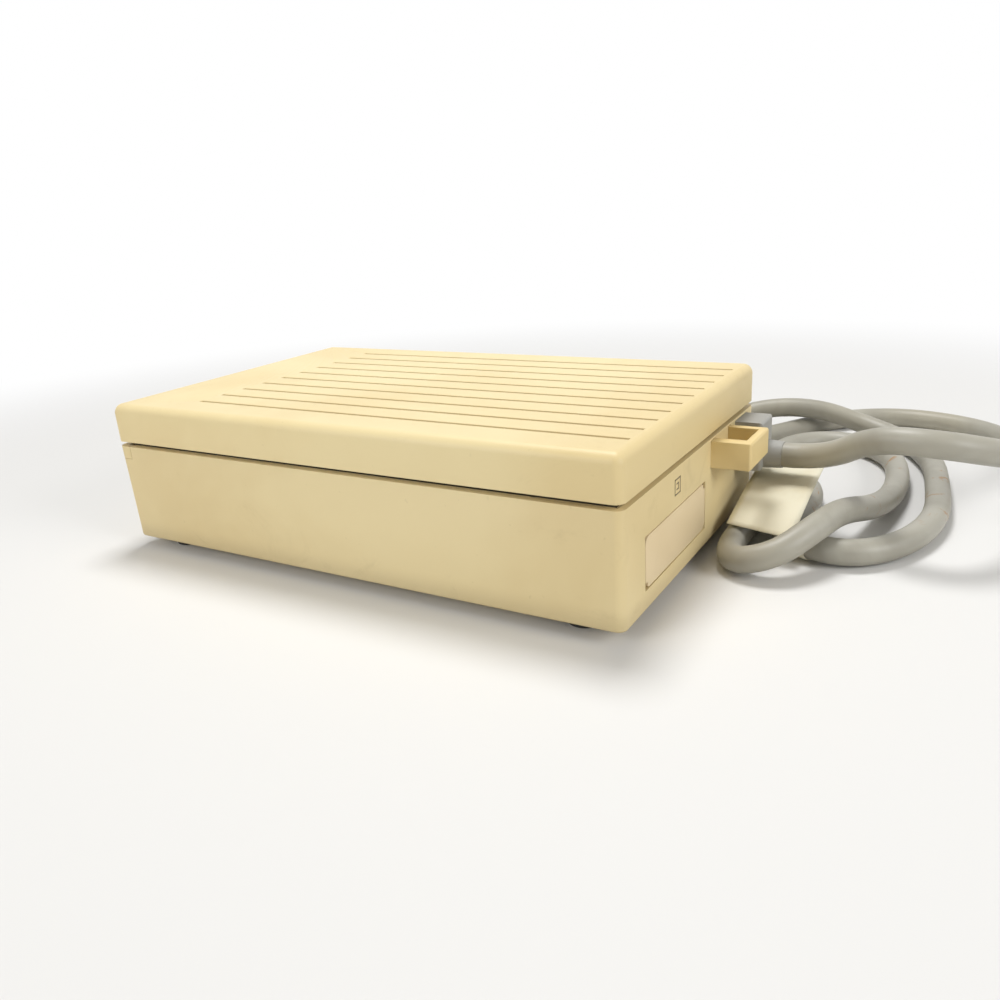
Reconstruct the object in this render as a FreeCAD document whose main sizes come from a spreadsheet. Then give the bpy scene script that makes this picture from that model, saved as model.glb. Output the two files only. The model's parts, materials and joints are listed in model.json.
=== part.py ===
import FreeCAD, Part
import Sketcher
import math
import os
import re

from FreeCAD import Rotation, Vector

# An external 3.5-inch disk drive. The front, with the disk slot, faces -Y, the rear +Y and the top +Z.
# The origin lies under the middle of the case and its rear loop, on the surface that the feet stand on.

doc = FreeCAD.newDocument("DiskDrive")
sheet = doc.addObject("Spreadsheet::Sheet", "Sizes")

sizes = {
    # case
    "caseWidth": 124.0, "caseLength": 203.4, "lowerHeight": 36.0, "seamGap": 1.7, "lidHeight": 13.9,
    "wall": 2.5, "lidWall": 2.4, "cornerRadius": 3.0, "lidEdgeRadius": 3.4, "bottomEdgeRadius": 1.0,
    "frontDraft": 1.5, "fitGap": 0.3, "slideGap": 0.4,
    # lid grooves
    "grooveCount": 10, "groovePitch": 10.5, "grooveWidth": 1.5, "grooveDepth": 0.9,
    "grooveFromFront": 32.0, "grooveFromRear": 3.8,
    # lid tongue and screw posts
    "tongueDepth": 3.4, "tongueWall": 1.4, "postRadius": 3.4, "postInset": 6.0, "postFromFront": 31.0,
    "postFromRear": 28.0, "screwRadius": 1.3, "screwHeadRadius": 2.3, "screwHeadHeight": 2.2, "screwLength": 38.0,
    # feet
    "feetHeight": 4.0, "footRadius": 6.5, "footRecess": 0.8, "footInset": 11.5, "footFromEnd": 17.0,
    # front bezel
    "bezelThickness": 3.0, "bezelSide": 4.0, "bezelSill": 4.0, "tabHeight": 4.7, "tabLength": 6.4,
    "slotWidth": 94.0, "slotHeight": 5.0, "slotLevel": 28.0, "slotDepth": 5.5, "slotLip": 1.2,
    "recessWidth": 34.0, "recessHeight": 9.0, "recessDepth": 1.6,
    "buttonWidth": 14.0, "buttonHeight": 6.0, "buttonLevel": 17.5, "buttonFromCentre": 37.0,
    "buttonProud": 0.8, "lampRadius": 1.6, "lampFromCentre": 20.0, "pinHoleRadius": 0.7, "pinHoleFromButton": 5.0,
    # dust flap behind the slot
    "flapThickness": 1.2, "flapPinRadius": 0.9, "flapPinLength": 2.4, "flapDrop": 5.4, "flapGap": 0.5,
    "flapEar": 4.0, "flapEarRim": 0.5, "buttonLength": 9.0, "buttonWall": 1.2, "buttonRound": 0.8,
    # rear wall
    "panelWidth": 52.9, "panelHeight": 16.8, "panelFromCentre": 19.9, "panelLevel": 18.8,
    "panelRadius": 3.0, "panelGroove": 0.45, "coverBack": 0.8, "notchSize": 1.7,
    "loopReach": 13.3, "loopWidth": 21.8, "loopHeight": 9.2, "loopFromCentre": 22.7, "loopLevel": 30.0,
    "loopNearWall": 4.4, "loopWall": 2.8, "loopEdge": 0.9, "tongueHook": 1.6,
    "reliefWidth": 14.0, "reliefHeight": 17.5, "reliefFromCentre": 46.0, "reliefLevel": 30.2,
    "reliefReach": 9.6, "reliefRadius": 1.2, "reliefFlange": 2.0, "reliefFlangeThickness": 2.2,
    "sleeveRadius": 5.2, "sleeveEndRadius": 4.7, "sleeveLength": 6.0, "sleeveDrop": 4.0,
    # cable
    "cableRadius": 4.4,
    # mechanism frame
    "mechWidth": 101.6, "mechLength": 148.0, "mechFromFront": 10.5, "standHeight": 3.0, "standRadius": 3.5,
    "standInset": 9.0, "standFromFront": 20.0, "standFromRear": 30.0, "mechScrewRadius": 1.2,
    "mechHeadRadius": 2.4, "mechHeadHeight": 1.5, "shieldThickness": 0.8, "shieldGap": 0.3,
    "shieldHeight": 33.0, "ventCount": 9, "ventPitch": 9.0, "chassisFloor": 2.4, "chassisWall": 2.6,
    "chassisHeight": 26.0,
    # spindle motor
    "spindleFromFront": 54.0, "statorRadius": 21.0, "statorHeight": 4.0, "bearingRadius": 5.0,
    "bearingHeight": 8.2, "spindleRadius": 2.0, "rotorRadius": 24.5, "rotorTop": 11.1, "rotorWall": 1.2,
    "rotorGap": 0.8, "magnetThickness": 1.5, "hubRadius": 12.5, "hubHeight": 1.6, "drivePinRadius": 1.0,
    "drivePinFrom": 9.5, "motorBoardThickness": 1.2, "poleCount": 12,
    # head positioner
    "railRadius": 1.5, "railFromCentre": 20.0, "railLevel": 17.0, "railLength": 58.0, "railFromRear": 10.0,
    "stepperRadius": 10.0, "stepperLength": 17.0, "stepperFromRear": 3.2, "leadRadius": 1.6,
    "leadFromCentre": 35.0, "leadLevel": 23.5, "leadLength": 28.5, "leadPitch": 3.0, "leadGroove": 0.35,
    "carriageLength": 24.0, "carriageHeight": 6.0, "carriageFromSpindle": 45.8, "headFromSpindle": 39.5,
    "headTravel": 15.0, "headRadius": 3.0, "armThickness": 1.6, "armWidth": 15.0, "armPivotLevel": 33.2,
    "armPivotRadius": 1.2,
    # disk cage and eject slider
    "cageWidth": 92.6, "cageLength": 92.0, "cageFromFront": 6.0, "cageSheet": 0.8, "cageInner": 4.6,
    "cageLip": 5.0, "cageLift": 2.8, "sliderSheet": 1.0, "sliderTravel": 5.0, "sliderLength": 86.0, "tieWidth": 6.0,
    "camPinRadius": 1.0, "camPinFirst": 14.0, "camPinSecond": 72.0,
    "leverLength": 30.0, "leverWidth": 5.0, "leverSheet": 1.0, "leverPivotRadius": 1.5,
    "leverFromCentre": 42.0, "leverFromRear": 6.0,
    # interface board
    "boardSheet": 1.6, "boardLength": 26.0, "boardWidth": 84.0, "boardLift": 5.5, "boardFromMech": 6.5,
    "chipLength": 20.0, "chipWidth": 6.4, "chipHeight": 3.4,
    # plug on the cable
    "plugWidth": 54.0, "plugHeight": 14.6, "plugLength": 42.0, "plugLevel": 7.5, "plugFromCentre": 122.0,
    "plugRearY": 18.0, "plugRound": 1.5, "plugNeckRadius": 5.6, "plugNeckLength": 9.0,
    "plugShellWidth": 38.0, "plugShellHeight": 8.4, "plugShellReach": 6.0, "plugShellWall": 0.6,
    "plugPins": 19, "plugPinPitch": 2.77, "plugPinRow": 2.84, "plugPinRadius": 0.5,
    "thumbRadius": 3.4, "thumbLength": 9.0, "thumbShankRadius": 1.4, "thumbFromCentre": 22.5,
    # paper tag on the cable
    "tagWidth": 24.0, "tagLength": 50.0, "tagSheet": 0.4, "tagNeck": 5.0,
}
for row, (name, value) in enumerate(sizes.items(), start=1):
    sheet.set(f"A{row}", name)
    sheet.set(f"B{row}", str(value))
    sheet.setAlias(f"B{row}", name)
doc.recompute()

nodes = {}

frontY = "-(caseLength + loopReach)/2"
rearY = "(caseLength - loopReach)/2"
caseTop = "(feetHeight + lowerHeight)"
lidBottom = "(feetHeight + lowerHeight + seamGap)"
lidTop = "(feetHeight + lowerHeight + seamGap + lidHeight)"
trayBase = "(feetHeight + wall + standHeight)"
chassisBase = "(feetHeight + wall + standHeight + shieldThickness)"
mechFront = f"({frontY} + mechFromFront)"
mechRear = f"({frontY} + mechFromFront + mechLength)"
spindleY = f"({frontY} + mechFromFront + spindleFromFront)"
cageFront = f"({mechFront} + cageFromFront)"
boardTop = "(feetHeight + wall + standHeight + shieldThickness + chassisFloor + motorBoardThickness)"
slotFloor = "(slotLevel - slotHeight/2)"
flapY = f"({frontY} + frontDraft + slotDepth + flapGap + flapPinRadius)"
flapZ = "(slotLevel + slotHeight/2 + flapPinRadius)"


def size(name):
    return float(getattr(sheet, name))


def leaning(level):
    """How far forward the sloping front stands at a level."""
    return f"({frontY} + frontDraft*(1 - ({level} - feetHeight)/lowerHeight))"


def bound(text):
    """An expression in the sheet's names, as the document wants it."""
    return re.sub(r"\b([a-z][A-Za-z]+)\b", r"Sizes.\1", str(text))


def place(item, x=0, y=0, z=0, axis=None, angle=0):
    if axis is not None:
        item.Placement = FreeCAD.Placement(Vector(0, 0, 0), Rotation(axis, angle))
    for letter, text in zip("xyz", (x, y, z)):
        item.setExpression(f"Placement.Base.{letter}", bound(text))
    return item


def box(label, length, width, height, x, y, z):
    """A block whose lowest corner is at x, y, z."""
    item = doc.addObject("Part::Box", label)
    for prop, text in zip(("Length", "Width", "Height"), (length, width, height)):
        item.setExpression(prop, bound(text))
    return place(item, x, y, z)


def block(label, length, width, height, x, y, z):
    """A block centred on x, with its near side at y and its foot at z."""
    return box(label, length, width, height, f"({x}) - ({length})/2", y, z)


def rod(label, radius, height, x, y, z, along="z"):
    """A cylinder that starts at x, y, z and runs along one axis."""
    item = doc.addObject("Part::Cylinder", label)
    item.setExpression("Radius", bound(radius))
    item.setExpression("Height", bound(height))
    turns = {"z": None, "y": (Vector(1, 0, 0), -90), "x": (Vector(0, 1, 0), 90)}
    turn = turns[along]
    if turn is None:
        return place(item, x, y, z)
    return place(item, x, y, z, *turn)


def cone(label, radius, end_radius, height, x, y, z, along="z"):
    item = doc.addObject("Part::Cone", label)
    item.setExpression("Radius1", bound(radius))
    item.setExpression("Radius2", bound(end_radius))
    item.setExpression("Height", bound(height))
    if along == "y":
        return place(item, x, y, z, Vector(1, 0, 0), -90)
    return place(item, x, y, z)


def fuse(label, parts):
    item = doc.addObject("Part::MultiFuse", label)
    item.Shapes = parts
    item.Refine = True
    return item


def cut(label, base, tools):
    tool = tools[0] if len(tools) == 1 else fuse(label + "Tools", tools)
    item = doc.addObject("Part::Cut", label)
    item.Base = base
    item.Tool = tool
    item.Refine = True
    return item


def group(label, parts):
    """Several separate solids in one sub-part."""
    item = doc.addObject("Part::Compound", label)
    item.Links = parts
    return item


def keep(name, item):
    item.Label = name
    nodes[name] = item
    return item


def plane(body, role):
    for feature in body.Origin.OriginFeatures:
        if feature.Role == role:
            return feature
    raise ValueError(role)


def sketch(body, name, role, offset=None):
    item = body.newObject("Sketcher::SketchObject", name)
    item.AttachmentSupport = [(plane(body, role), "")]
    item.MapMode = "FlatFace"
    if offset is not None:
        item.setExpression("AttachmentOffset.Base.z", bound(offset))
    return item


def bind(item, kind, refs, text):
    index = item.addConstraint(Sketcher.Constraint(kind, *refs, 1.0))
    item.setExpression(f"Constraints[{index}]", bound(text))


def outline(item, corners):
    """A closed outline through corners given as pairs of expressions."""
    first = item.GeometryCount
    count = len(corners)
    guess = [Vector(math.cos(2 * math.pi * i / count), math.sin(2 * math.pi * i / count), 0) for i in range(count)]
    for i in range(count):
        item.addGeometry(Part.LineSegment(guess[i], guess[(i + 1) % count]), False)
    for i in range(count):
        after = first + (i + 1) % count
        item.addConstraint(Sketcher.Constraint("Coincident", first + i, 2, after, 1))
    for i, (across, up) in enumerate(corners):
        bind(item, "DistanceX", (-1, 1, first + i, 1), across)
        bind(item, "DistanceY", (-1, 1, first + i, 1), up)


def rectangle(item, x0, x1, y0, y1):
    outline(item, [(x0, y0), (x1, y0), (x1, y1), (x0, y1)])


def circle(item, x, y, radius):
    index = item.addGeometry(Part.Circle(Vector(1, 1, 0), Vector(0, 0, 1), 1.0), False)
    bind(item, "Radius", (index,), radius)
    bind(item, "DistanceX", (-1, 1, index, 3), x)
    bind(item, "DistanceY", (-1, 1, index, 3), y)


def pad(body, profile, length, back=False):
    item = body.newObject("PartDesign::Pad", profile.Name + "Pad")
    item.Profile = profile
    item.setExpression("Length", bound(length))
    item.Reversed = back
    doc.recompute()
    return item


def pocket(body, profile, length, back=False):
    """A pocket that must take something away."""
    before = body.Shape.Volume
    item = body.newObject("PartDesign::Pocket", profile.Name + "Pocket")
    item.Profile = profile
    item.setExpression("Length", bound(length))
    item.Reversed = back
    doc.recompute()
    if not item.Shape.Volume < before - 1e-6:
        raise ValueError(profile.Name + " cuts nothing")
    return item


def fillet(body, base, radius, chosen):
    """Rounds the edges of base that the test accepts."""
    names = [f"Edge{i}" for i, edge in enumerate(base.Shape.Edges, start=1) if chosen(edge)]
    item = body.newObject("PartDesign::Fillet", base.Name + "Round")
    item.Base = (base, names)
    item.setExpression("Radius", bound(radius))
    doc.recompute()
    return item


def upright(edge):
    """True for an edge that stands, also one that leans with the front's draft."""
    start, end = edge.Vertexes[0].Point, edge.Vertexes[-1].Point
    return abs(end.z - start.z) > 0.9 * edge.Length and edge.Length > 1


def at_height(edge, level):
    return all(abs(vertex.Point.z - level) < 0.01 for vertex in edge.Vertexes)


def four_corners(inset_x, y0, y1):
    return [(side, y) for side in (f"({inset_x})", f"(-({inset_x}))") for y in (y0, y1)]


postX = "(caseWidth/2 - postInset)"
postFront = f"({frontY} + postFromFront)"
postRear = f"({rearY} - postFromRear)"
posts = four_corners(postX, postFront, postRear)
standX = "(mechWidth/2 - standInset)"
stands = four_corners(standX, f"({mechFront} + standFromFront)", f"({mechRear} - standFromRear)")
footX = "(caseWidth/2 - footInset)"
feet = four_corners(footX, f"({frontY} + footFromEnd)", f"({rearY} - footFromEnd)")


def lower_case():
    """The tub: walls, floor, front frame, posts, stands and every opening in its walls."""
    body = doc.addObject("PartDesign::Body", "LowerCase")
    side = sketch(body, "LowerSide", "YZ_Plane", "-caseWidth/2")
    outline(side, [
        (f"{frontY} + frontDraft", "feetHeight"), (rearY, "feetHeight"),
        (rearY, caseTop), (frontY, caseTop)])
    solid = pad(body, side, "caseWidth")
    solid = fillet(body, solid, "cornerRadius", upright)
    solid = fillet(body, solid, "bottomEdgeRadius", lambda edge: at_height(edge, size("feetHeight")))
    inside = sketch(body, "LowerInside", "XY_Plane", caseTop)
    rectangle(inside, "-(caseWidth/2 - wall)", "caseWidth/2 - wall",
              f"{frontY} + bezelThickness + fitGap", f"{rearY} - wall")
    pocket(body, inside, "lowerHeight - wall")
    front = sketch(body, "BezelOpening", "XZ_Plane", f"-({frontY}) + 1")
    rectangle(front, "-(caseWidth/2 - bezelSide)", "caseWidth/2 - bezelSide",
              "feetHeight + bezelSill", f"{caseTop} + 1")
    pocket(body, front, "bezelThickness + fitGap + 2")
    tabs = sketch(body, "TabOpening", "YZ_Plane", "-caseWidth/2 - 1")
    rectangle(tabs, f"{frontY} - 1", f"{frontY} + tabLength + fitGap/2",
              f"{caseTop} - tabHeight - fitGap/2", f"{caseTop} + 1")
    pocket(body, tabs, "caseWidth + 2", back=True)
    under = sketch(body, "FootRecesses", "XY_Plane", "feetHeight")
    for x, y in feet:
        circle(under, x, y, "footRadius + fitGap/2")
    pocket(body, under, "footRecess", back=True)
    added = []
    for i, (x, y) in enumerate(posts):
        added.append(rod(f"Post{i}", "postRadius", "lowerHeight - wall - seamGap", x, y, "feetHeight + wall/2"))
    for i, (x, y) in enumerate(stands):
        added.append(rod(f"Stand{i}", "standRadius", "standHeight + wall/2", x, y, "feetHeight + wall/2"))
    added += board_stands()
    whole = fuse("TubWithPosts", [body] + added)
    taken = []
    for i, (x, y) in enumerate(posts):
        taken.append(rod(f"PostBore{i}", "screwRadius + fitGap/2", "lowerHeight", x, y, "feetHeight - 1"))
        taken.append(rod(f"PostSeat{i}", "screwHeadRadius + fitGap", "screwHeadHeight + wall + 1", x, y,
                         "feetHeight - 1"))
    for i, (x, y) in enumerate(stands):
        taken.append(rod(f"StandBore{i}", "mechScrewRadius", "standHeight + wall + 1", x, y,
                         "feetHeight + wall/2"))
    taken += rear_openings()
    return keep("lower_case", cut("LowerCaseFinished", whole, taken))


def rear_openings():
    """The port opening, the cable outlet with its flange groove, and the slots for the loop's arms."""
    y = f"{rearY} - wall - 1"
    deep = "wall + 2"
    outlet = "-reliefFromCentre"
    low = "reliefLevel - reliefHeight/2"
    loop_low = "loopLevel"
    loop_near = "-(loopFromCentre - loopWidth/2)"
    loop_far = "-(loopFromCentre + loopWidth/2)"
    return [
        block("PortOpening", "panelWidth", deep, "panelHeight", "panelFromCentre", y, "panelLevel - panelHeight/2"),
        block("OutletOpening", "reliefWidth + fitGap", deep, "reliefHeight + fitGap", outlet, y,
              f"{low} - fitGap/2"),
        box("NearArmSlot", "loopNearWall + fitGap", deep, "loopHeight + fitGap",
            f"{loop_near} - loopNearWall - fitGap/2", y, f"{loop_low} - fitGap/2"),
        box("FarArmSlot", "loopWall + fitGap", deep, "loopHeight + fitGap",
            f"{loop_far} - fitGap/2", y, f"{loop_low} - fitGap/2"),
    ]


def top_lid():
    """The lid: rounded shell with long shallow grooves, a tongue that drops inside the tub, and screw pillars."""
    body = doc.addObject("PartDesign::Body", "TopLid")
    plan = sketch(body, "LidPlan", "XY_Plane", lidBottom)
    rectangle(plan, "-caseWidth/2", "caseWidth/2", frontY, rearY)
    solid = pad(body, plan, "lidHeight")
    solid = fillet(body, solid, "cornerRadius", upright)
    top = size("feetHeight") + size("lowerHeight") + size("seamGap") + size("lidHeight")
    solid = fillet(body, solid, "lidEdgeRadius", lambda edge: at_height(edge, top))
    inside = sketch(body, "LidInside", "XY_Plane", lidBottom)
    rectangle(inside, "-(caseWidth/2 - lidWall)", "caseWidth/2 - lidWall",
              f"{frontY} + lidWall", f"{rearY} - lidWall")
    pocket(body, inside, "lidHeight - lidWall", back=True)
    groove = sketch(body, "Groove", "XY_Plane", lidTop)
    first = "(grooveCount - 1)*groovePitch/2"
    rectangle(groove, f"-({first}) - grooveWidth/2", f"-({first}) + grooveWidth/2",
              f"{frontY} + grooveFromFront", f"{rearY} - grooveFromRear")
    cut_groove = pocket(body, groove, "grooveDepth")
    row = body.newObject("PartDesign::LinearPattern", "Grooves")
    row.Originals = [cut_groove]
    row.Direction = (plane(body, "X_Axis"), [""])
    row.setExpression("Length", bound("(grooveCount - 1)*groovePitch"))
    row.setExpression("Occurrences", bound("grooveCount"))
    body.Tip = row
    doc.recompute()
    low = f"{lidBottom} - tongueDepth"
    ring_x = "(caseWidth - 2*wall - 2*fitGap)"
    tongue_front = f"({frontY} + bezelThickness + 2*fitGap + wall)"
    ring_y = f"({rearY} - wall - fitGap - ({tongue_front}))"
    up = "tongueDepth + lidHeight - lidWall/2"
    tongue = cut("LidTongue", block("TongueOuter", ring_x, ring_y, up, "0", tongue_front, low),
                 [block("TongueInner", f"{ring_x} - 2*tongueWall", f"{ring_y} - 2*tongueWall", f"{up} + 2", "0",
                        f"{tongue_front} + tongueWall", f"{low} - 1")])
    pillars = []
    bores = []
    pillar_low = "(feetHeight + wall/2 + lowerHeight - wall - seamGap + fitGap)"
    for i, (x, y) in enumerate(posts):
        pillars.append(rod(f"Pillar{i}", "postRadius", f"{lidTop} - lidWall/2 - {pillar_low}", x, y, pillar_low))
        bores.append(rod(f"PillarBore{i}", "screwRadius", f"{lidTop} - lidWall - 1 - {pillar_low} + 1", x, y,
                         f"{pillar_low} - 1"))
    outlet = block("ReliefNotch", "reliefWidth + 2*reliefFlange + 2", "wall + tongueWall + 4", "tongueDepth + 1",
                   "-reliefFromCentre", f"{rearY} - wall - tongueWall - 2", f"{low} - 1")
    loop_notch = block("LoopNotch", "loopWidth + 2", "wall + tongueWall + 2", "tongueDepth + 1",
                       "-loopFromCentre", f"{rearY} - wall - tongueWall - 1", f"{low} - 1")
    ring = cut("LidTongueOpen", tongue, [outlet, loop_notch])
    return keep("top_lid", cut("LidFinished", fuse("LidWithPillars", [body, ring] + pillars), bores))


def front_bezel():
    """The front frame: face plate, corner tabs, slot hood, finger recess and the openings for button and lamp."""
    body = doc.addObject("PartDesign::Body", "FrontBezel")
    bar = sketch(body, "BezelBar", "YZ_Plane", "-caseWidth/2")
    outline(bar, [
        (leaning(f"{caseTop} - tabHeight"), f"{caseTop} - tabHeight"),
        (f"{frontY} + tabLength", f"{caseTop} - tabHeight"), (f"{frontY} + tabLength", caseTop),
        (frontY, caseTop)])
    solid = pad(body, bar, "caseWidth")
    front = (size("loopReach") + size("caseLength")) / -2
    fillet(body, solid, "cornerRadius",
           lambda edge: upright(edge) and min(v.Point.y for v in edge.Vertexes) < front + size("frontDraft"))
    core = sketch(body, "BarCore", "XY_Plane", f"{caseTop} + 1")
    rectangle(core, "-(caseWidth/2 - wall)", "caseWidth/2 - wall",
              f"{frontY} + bezelThickness", f"{frontY} + tabLength + 1")
    pocket(body, core, "tabHeight + 2")
    plate = doc.addObject("PartDesign::Body", "BezelPlate")
    low = "(feetHeight + bezelSill + fitGap)"
    high = f"({caseTop} - tabHeight/2)"
    side = sketch(plate, "PlateSide", "YZ_Plane", "-(caseWidth/2 - bezelSide - fitGap)")
    outline(side, [
        (leaning(low), low), (f"{frontY} + bezelThickness", low), (f"{frontY} + bezelThickness", high),
        (leaning(high), high)])
    pad(plate, side, "caseWidth - 2*bezelSide - 2*fitGap")
    hood = block("SlotHood", "slotWidth + 2*slotLip", "slotDepth", "slotHeight + 2*slotLip", "0",
                 f"{frontY} + frontDraft", f"{slotFloor} - slotLip")
    tools = [
        block("SlotCut", "slotWidth", "slotDepth + 4", "slotHeight", "0", f"{frontY} - 1", slotFloor),
        block("FingerRecess", "recessWidth", "recessDepth + 2", "recessHeight", "0", f"{frontY} + frontDraft/2 - 2",
              "slotLevel - recessHeight/2"),
        block("ButtonHole", "buttonWidth + 2*slideGap", "bezelThickness + 3", "buttonHeight + 2*slideGap",
              "buttonFromCentre", f"{frontY} - 1", "buttonLevel - buttonHeight/2 - slideGap"),
        rod("LampHole", "lampRadius + fitGap/3", "bezelThickness + 3", "-lampFromCentre", f"{frontY} - 1",
            "buttonLevel", "y"),
        rod("PinHole", "pinHoleRadius", "bezelThickness + 3", "buttonFromCentre - buttonWidth/2 - pinHoleFromButton",
            f"{frontY} - 1", "buttonLevel", "y"),
    ]
    ears = []
    ear_start = f"({frontY} + bezelThickness - flapEarRim)"
    for side, sign in (("Right", ""), ("Left", "-")):
        centre = f"({sign}(slotWidth/2 + flapPinLength - slideGap))"
        ears.append(block(f"FlapEar{side}", "flapPinLength", f"{flapY} + flapPinRadius + flapEarRim - {ear_start}",
                          "flapEar", centre, ear_start, f"{flapZ} - flapEar/2"))
        tools.append(rod(f"FlapBore{side}", "flapPinRadius + slideGap/4", "flapPinLength + 2",
                         f"{centre} - flapPinLength/2 - 1", flapY, flapZ, "x"))
    whole = fuse("BezelShape", [body, plate, hood] + ears)
    return keep("front_bezel", cut("BezelFinished", whole, tools))


def dust_flap():
    """A thin door that hangs behind the slot on two pins and swings inwards."""
    plate = block("FlapPlate", "slotWidth - 1", "flapThickness", "flapDrop + flapPinRadius", "0",
                  f"{flapY} - flapThickness/2", f"{flapZ} - flapDrop")
    spine = rod("FlapSpine", "flapPinRadius", "slotWidth + 2*flapPinLength", "-(slotWidth/2 + flapPinLength)",
                flapY, flapZ, "x")
    return keep("dust_flap", fuse("FlapShape", [plate, spine]))


def eject_button():
    front = f"({leaning('buttonLevel')} - buttonProud)"
    cap = block("ButtonCap", "buttonWidth", "buttonLength", "buttonHeight", "buttonFromCentre", front,
                "buttonLevel - buttonHeight/2")
    soft = doc.addObject("Part::Fillet", "ButtonRound")
    soft.Base = cap
    doc.recompute()
    nearest = min(edge.CenterOfMass.y for edge in cap.Shape.Edges)
    radius = size("buttonRound")
    soft.Edges = [(i, radius, radius) for i, edge in enumerate(cap.Shape.Edges, start=1)
                  if edge.CenterOfMass.y < nearest + 0.1]
    hollow = block("ButtonHollow", "buttonWidth - 2*buttonWall", "buttonLength", "buttonHeight - 2*buttonWall",
                   "buttonFromCentre", f"{front} + buttonWall", "buttonLevel - buttonHeight/2 + buttonWall")
    return keep("eject_button", cut("ButtonShape", soft, [hollow]))


def activity_lamp():
    dome = rod("LampBody", "lampRadius", "bezelThickness + 3", "-lampFromCentre", f"{frontY} + frontDraft/2",
               "buttonLevel", "y")
    collar = rod("LampCollar", "lampRadius + 0.5", "1", "-lampFromCentre", f"{frontY} + bezelThickness + fitGap",
                 "buttonLevel", "y")
    return keep("activity_lamp", fuse("LampShape", [dome, collar]))


def port_cover():
    """The blank plate in the port opening: proud of nothing, with a thin groove and two prying notches."""
    body = doc.addObject("PartDesign::Body", "PortCover")
    back = sketch(body, "CoverFace", "XZ_Plane", f"-({rearY}) + wall + coverBack")
    rectangle(back, "panelFromCentre - panelWidth/2 - 2", "panelFromCentre + panelWidth/2 + 2",
              "panelLevel - panelHeight/2 - 2", "panelLevel + panelHeight/2 + 2")
    pad(body, back, "coverBack - fitGap/6", back=True)
    plug = sketch(body, "CoverPlug", "XZ_Plane", f"-({rearY}) + wall + coverBack/2")
    rectangle(plug, "panelFromCentre - panelWidth/2 + panelGroove", "panelFromCentre + panelWidth/2 - panelGroove",
              "panelLevel - panelHeight/2 + panelGroove", "panelLevel + panelHeight/2 - panelGroove")
    solid = pad(body, plug, "wall + coverBack/2", back=True)
    rear = (size("caseLength") - size("loopReach")) / 2
    corner = lambda edge: (abs(edge.Vertexes[0].Point.y - edge.Vertexes[-1].Point.y) > size("wall") * 0.7
                           and abs(max(v.Point.y for v in edge.Vertexes) - rear) < 0.1)
    fillet(body, solid, "panelRadius", corner)
    left = "panelFromCentre - panelWidth/2 + panelGroove"
    right = "panelFromCentre + panelWidth/2 - panelGroove - notchSize"
    notches = [
        box("NotchLow", "notchSize", "wall", "notchSize", right, f"{rearY} - 1.4",
            "panelLevel - panelHeight/2 + panelGroove"),
        box("NotchHigh", "notchSize", "wall", "notchSize", left, f"{rearY} - 1.4",
            "panelLevel + panelHeight/2 - panelGroove - notchSize"),
    ]
    return keep("port_cover", cut("CoverFinished", body, notches))


def cord_loop():
    """A rectangular loop that stands out of the rear wall on two arms."""
    body = doc.addObject("PartDesign::Body", "CordLoop")
    plan = sketch(body, "LoopPlan", "XY_Plane", "loopLevel")
    far = "(-(loopFromCentre + loopWidth/2))"
    near = "(-(loopFromCentre - loopWidth/2))"
    root = f"({rearY} - wall - tongueHook)"
    tip = f"({rearY} + loopReach)"
    outline(plan, [
        (near, root), (near, tip), (far, tip), (far, root),
        (f"{far} + loopWall", root), (f"{far} + loopWall", f"{tip} - loopWall"),
        (f"{near} - loopNearWall", f"{tip} - loopWall"), (f"{near} - loopNearWall", root)])
    solid = pad(body, plan, "loopHeight")
    end = (size("caseLength") + size("loopReach")) / 2
    fillet(body, solid, "loopEdge",
           lambda edge: min(v.Point.y for v in edge.Vertexes) > end - 0.1)
    hooks = [
        box("NearHook", "loopNearWall + 1", "tongueHook - fitGap/2", "loopHeight", f"{near} - loopNearWall", root,
            "loopLevel"),
        box("FarHook", "loopWall + 1", "tongueHook - fitGap/2", "loopHeight", f"{far} - 1", root, "loopLevel"),
    ]
    return keep("cord_loop", fuse("LoopShape", [body] + hooks))


def strain_relief():
    """The moulded block that grips the cable, with a flange inside the wall and a short tapered sleeve."""
    low = "reliefLevel - reliefHeight/2"
    outer = block("ReliefBlock", "reliefWidth", "reliefReach + wall", "reliefHeight", "-reliefFromCentre",
                  f"{rearY} - wall", low)
    soft = doc.addObject("Part::Fillet", "ReliefRound")
    soft.Base = outer
    doc.recompute()
    end = (size("caseLength") - size("loopReach")) / 2 + size("reliefReach")
    radius = size("reliefRadius")
    soft.Edges = [(i, radius, radius) for i, edge in enumerate(outer.Shape.Edges, start=1)
                  if min(v.Point.y for v in edge.Vertexes) > end - 0.1]
    flange = block("ReliefFlangePlate", "reliefWidth + 2*reliefFlange", "reliefFlangeThickness",
                   "reliefHeight + reliefFlange", "-reliefFromCentre",
                   f"{rearY} - wall - reliefFlangeThickness", f"{low} - reliefFlange")
    sleeve = cone("ReliefSleeve", "sleeveRadius", "sleeveEndRadius", "sleeveLength + 1", "-reliefFromCentre",
                  f"{rearY} + reliefReach - 1", "reliefLevel - sleeveDrop", "y")
    bore = rod("ReliefBore", "cableRadius - fitGap", "6", "-reliefFromCentre",
               f"{rearY} - wall - reliefFlangeThickness - 1", "reliefLevel - sleeveDrop", "y")
    return keep("strain_relief", cut("ReliefFinished", fuse("ReliefShape", [soft, flange, sleeve]), [bore]))


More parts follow.
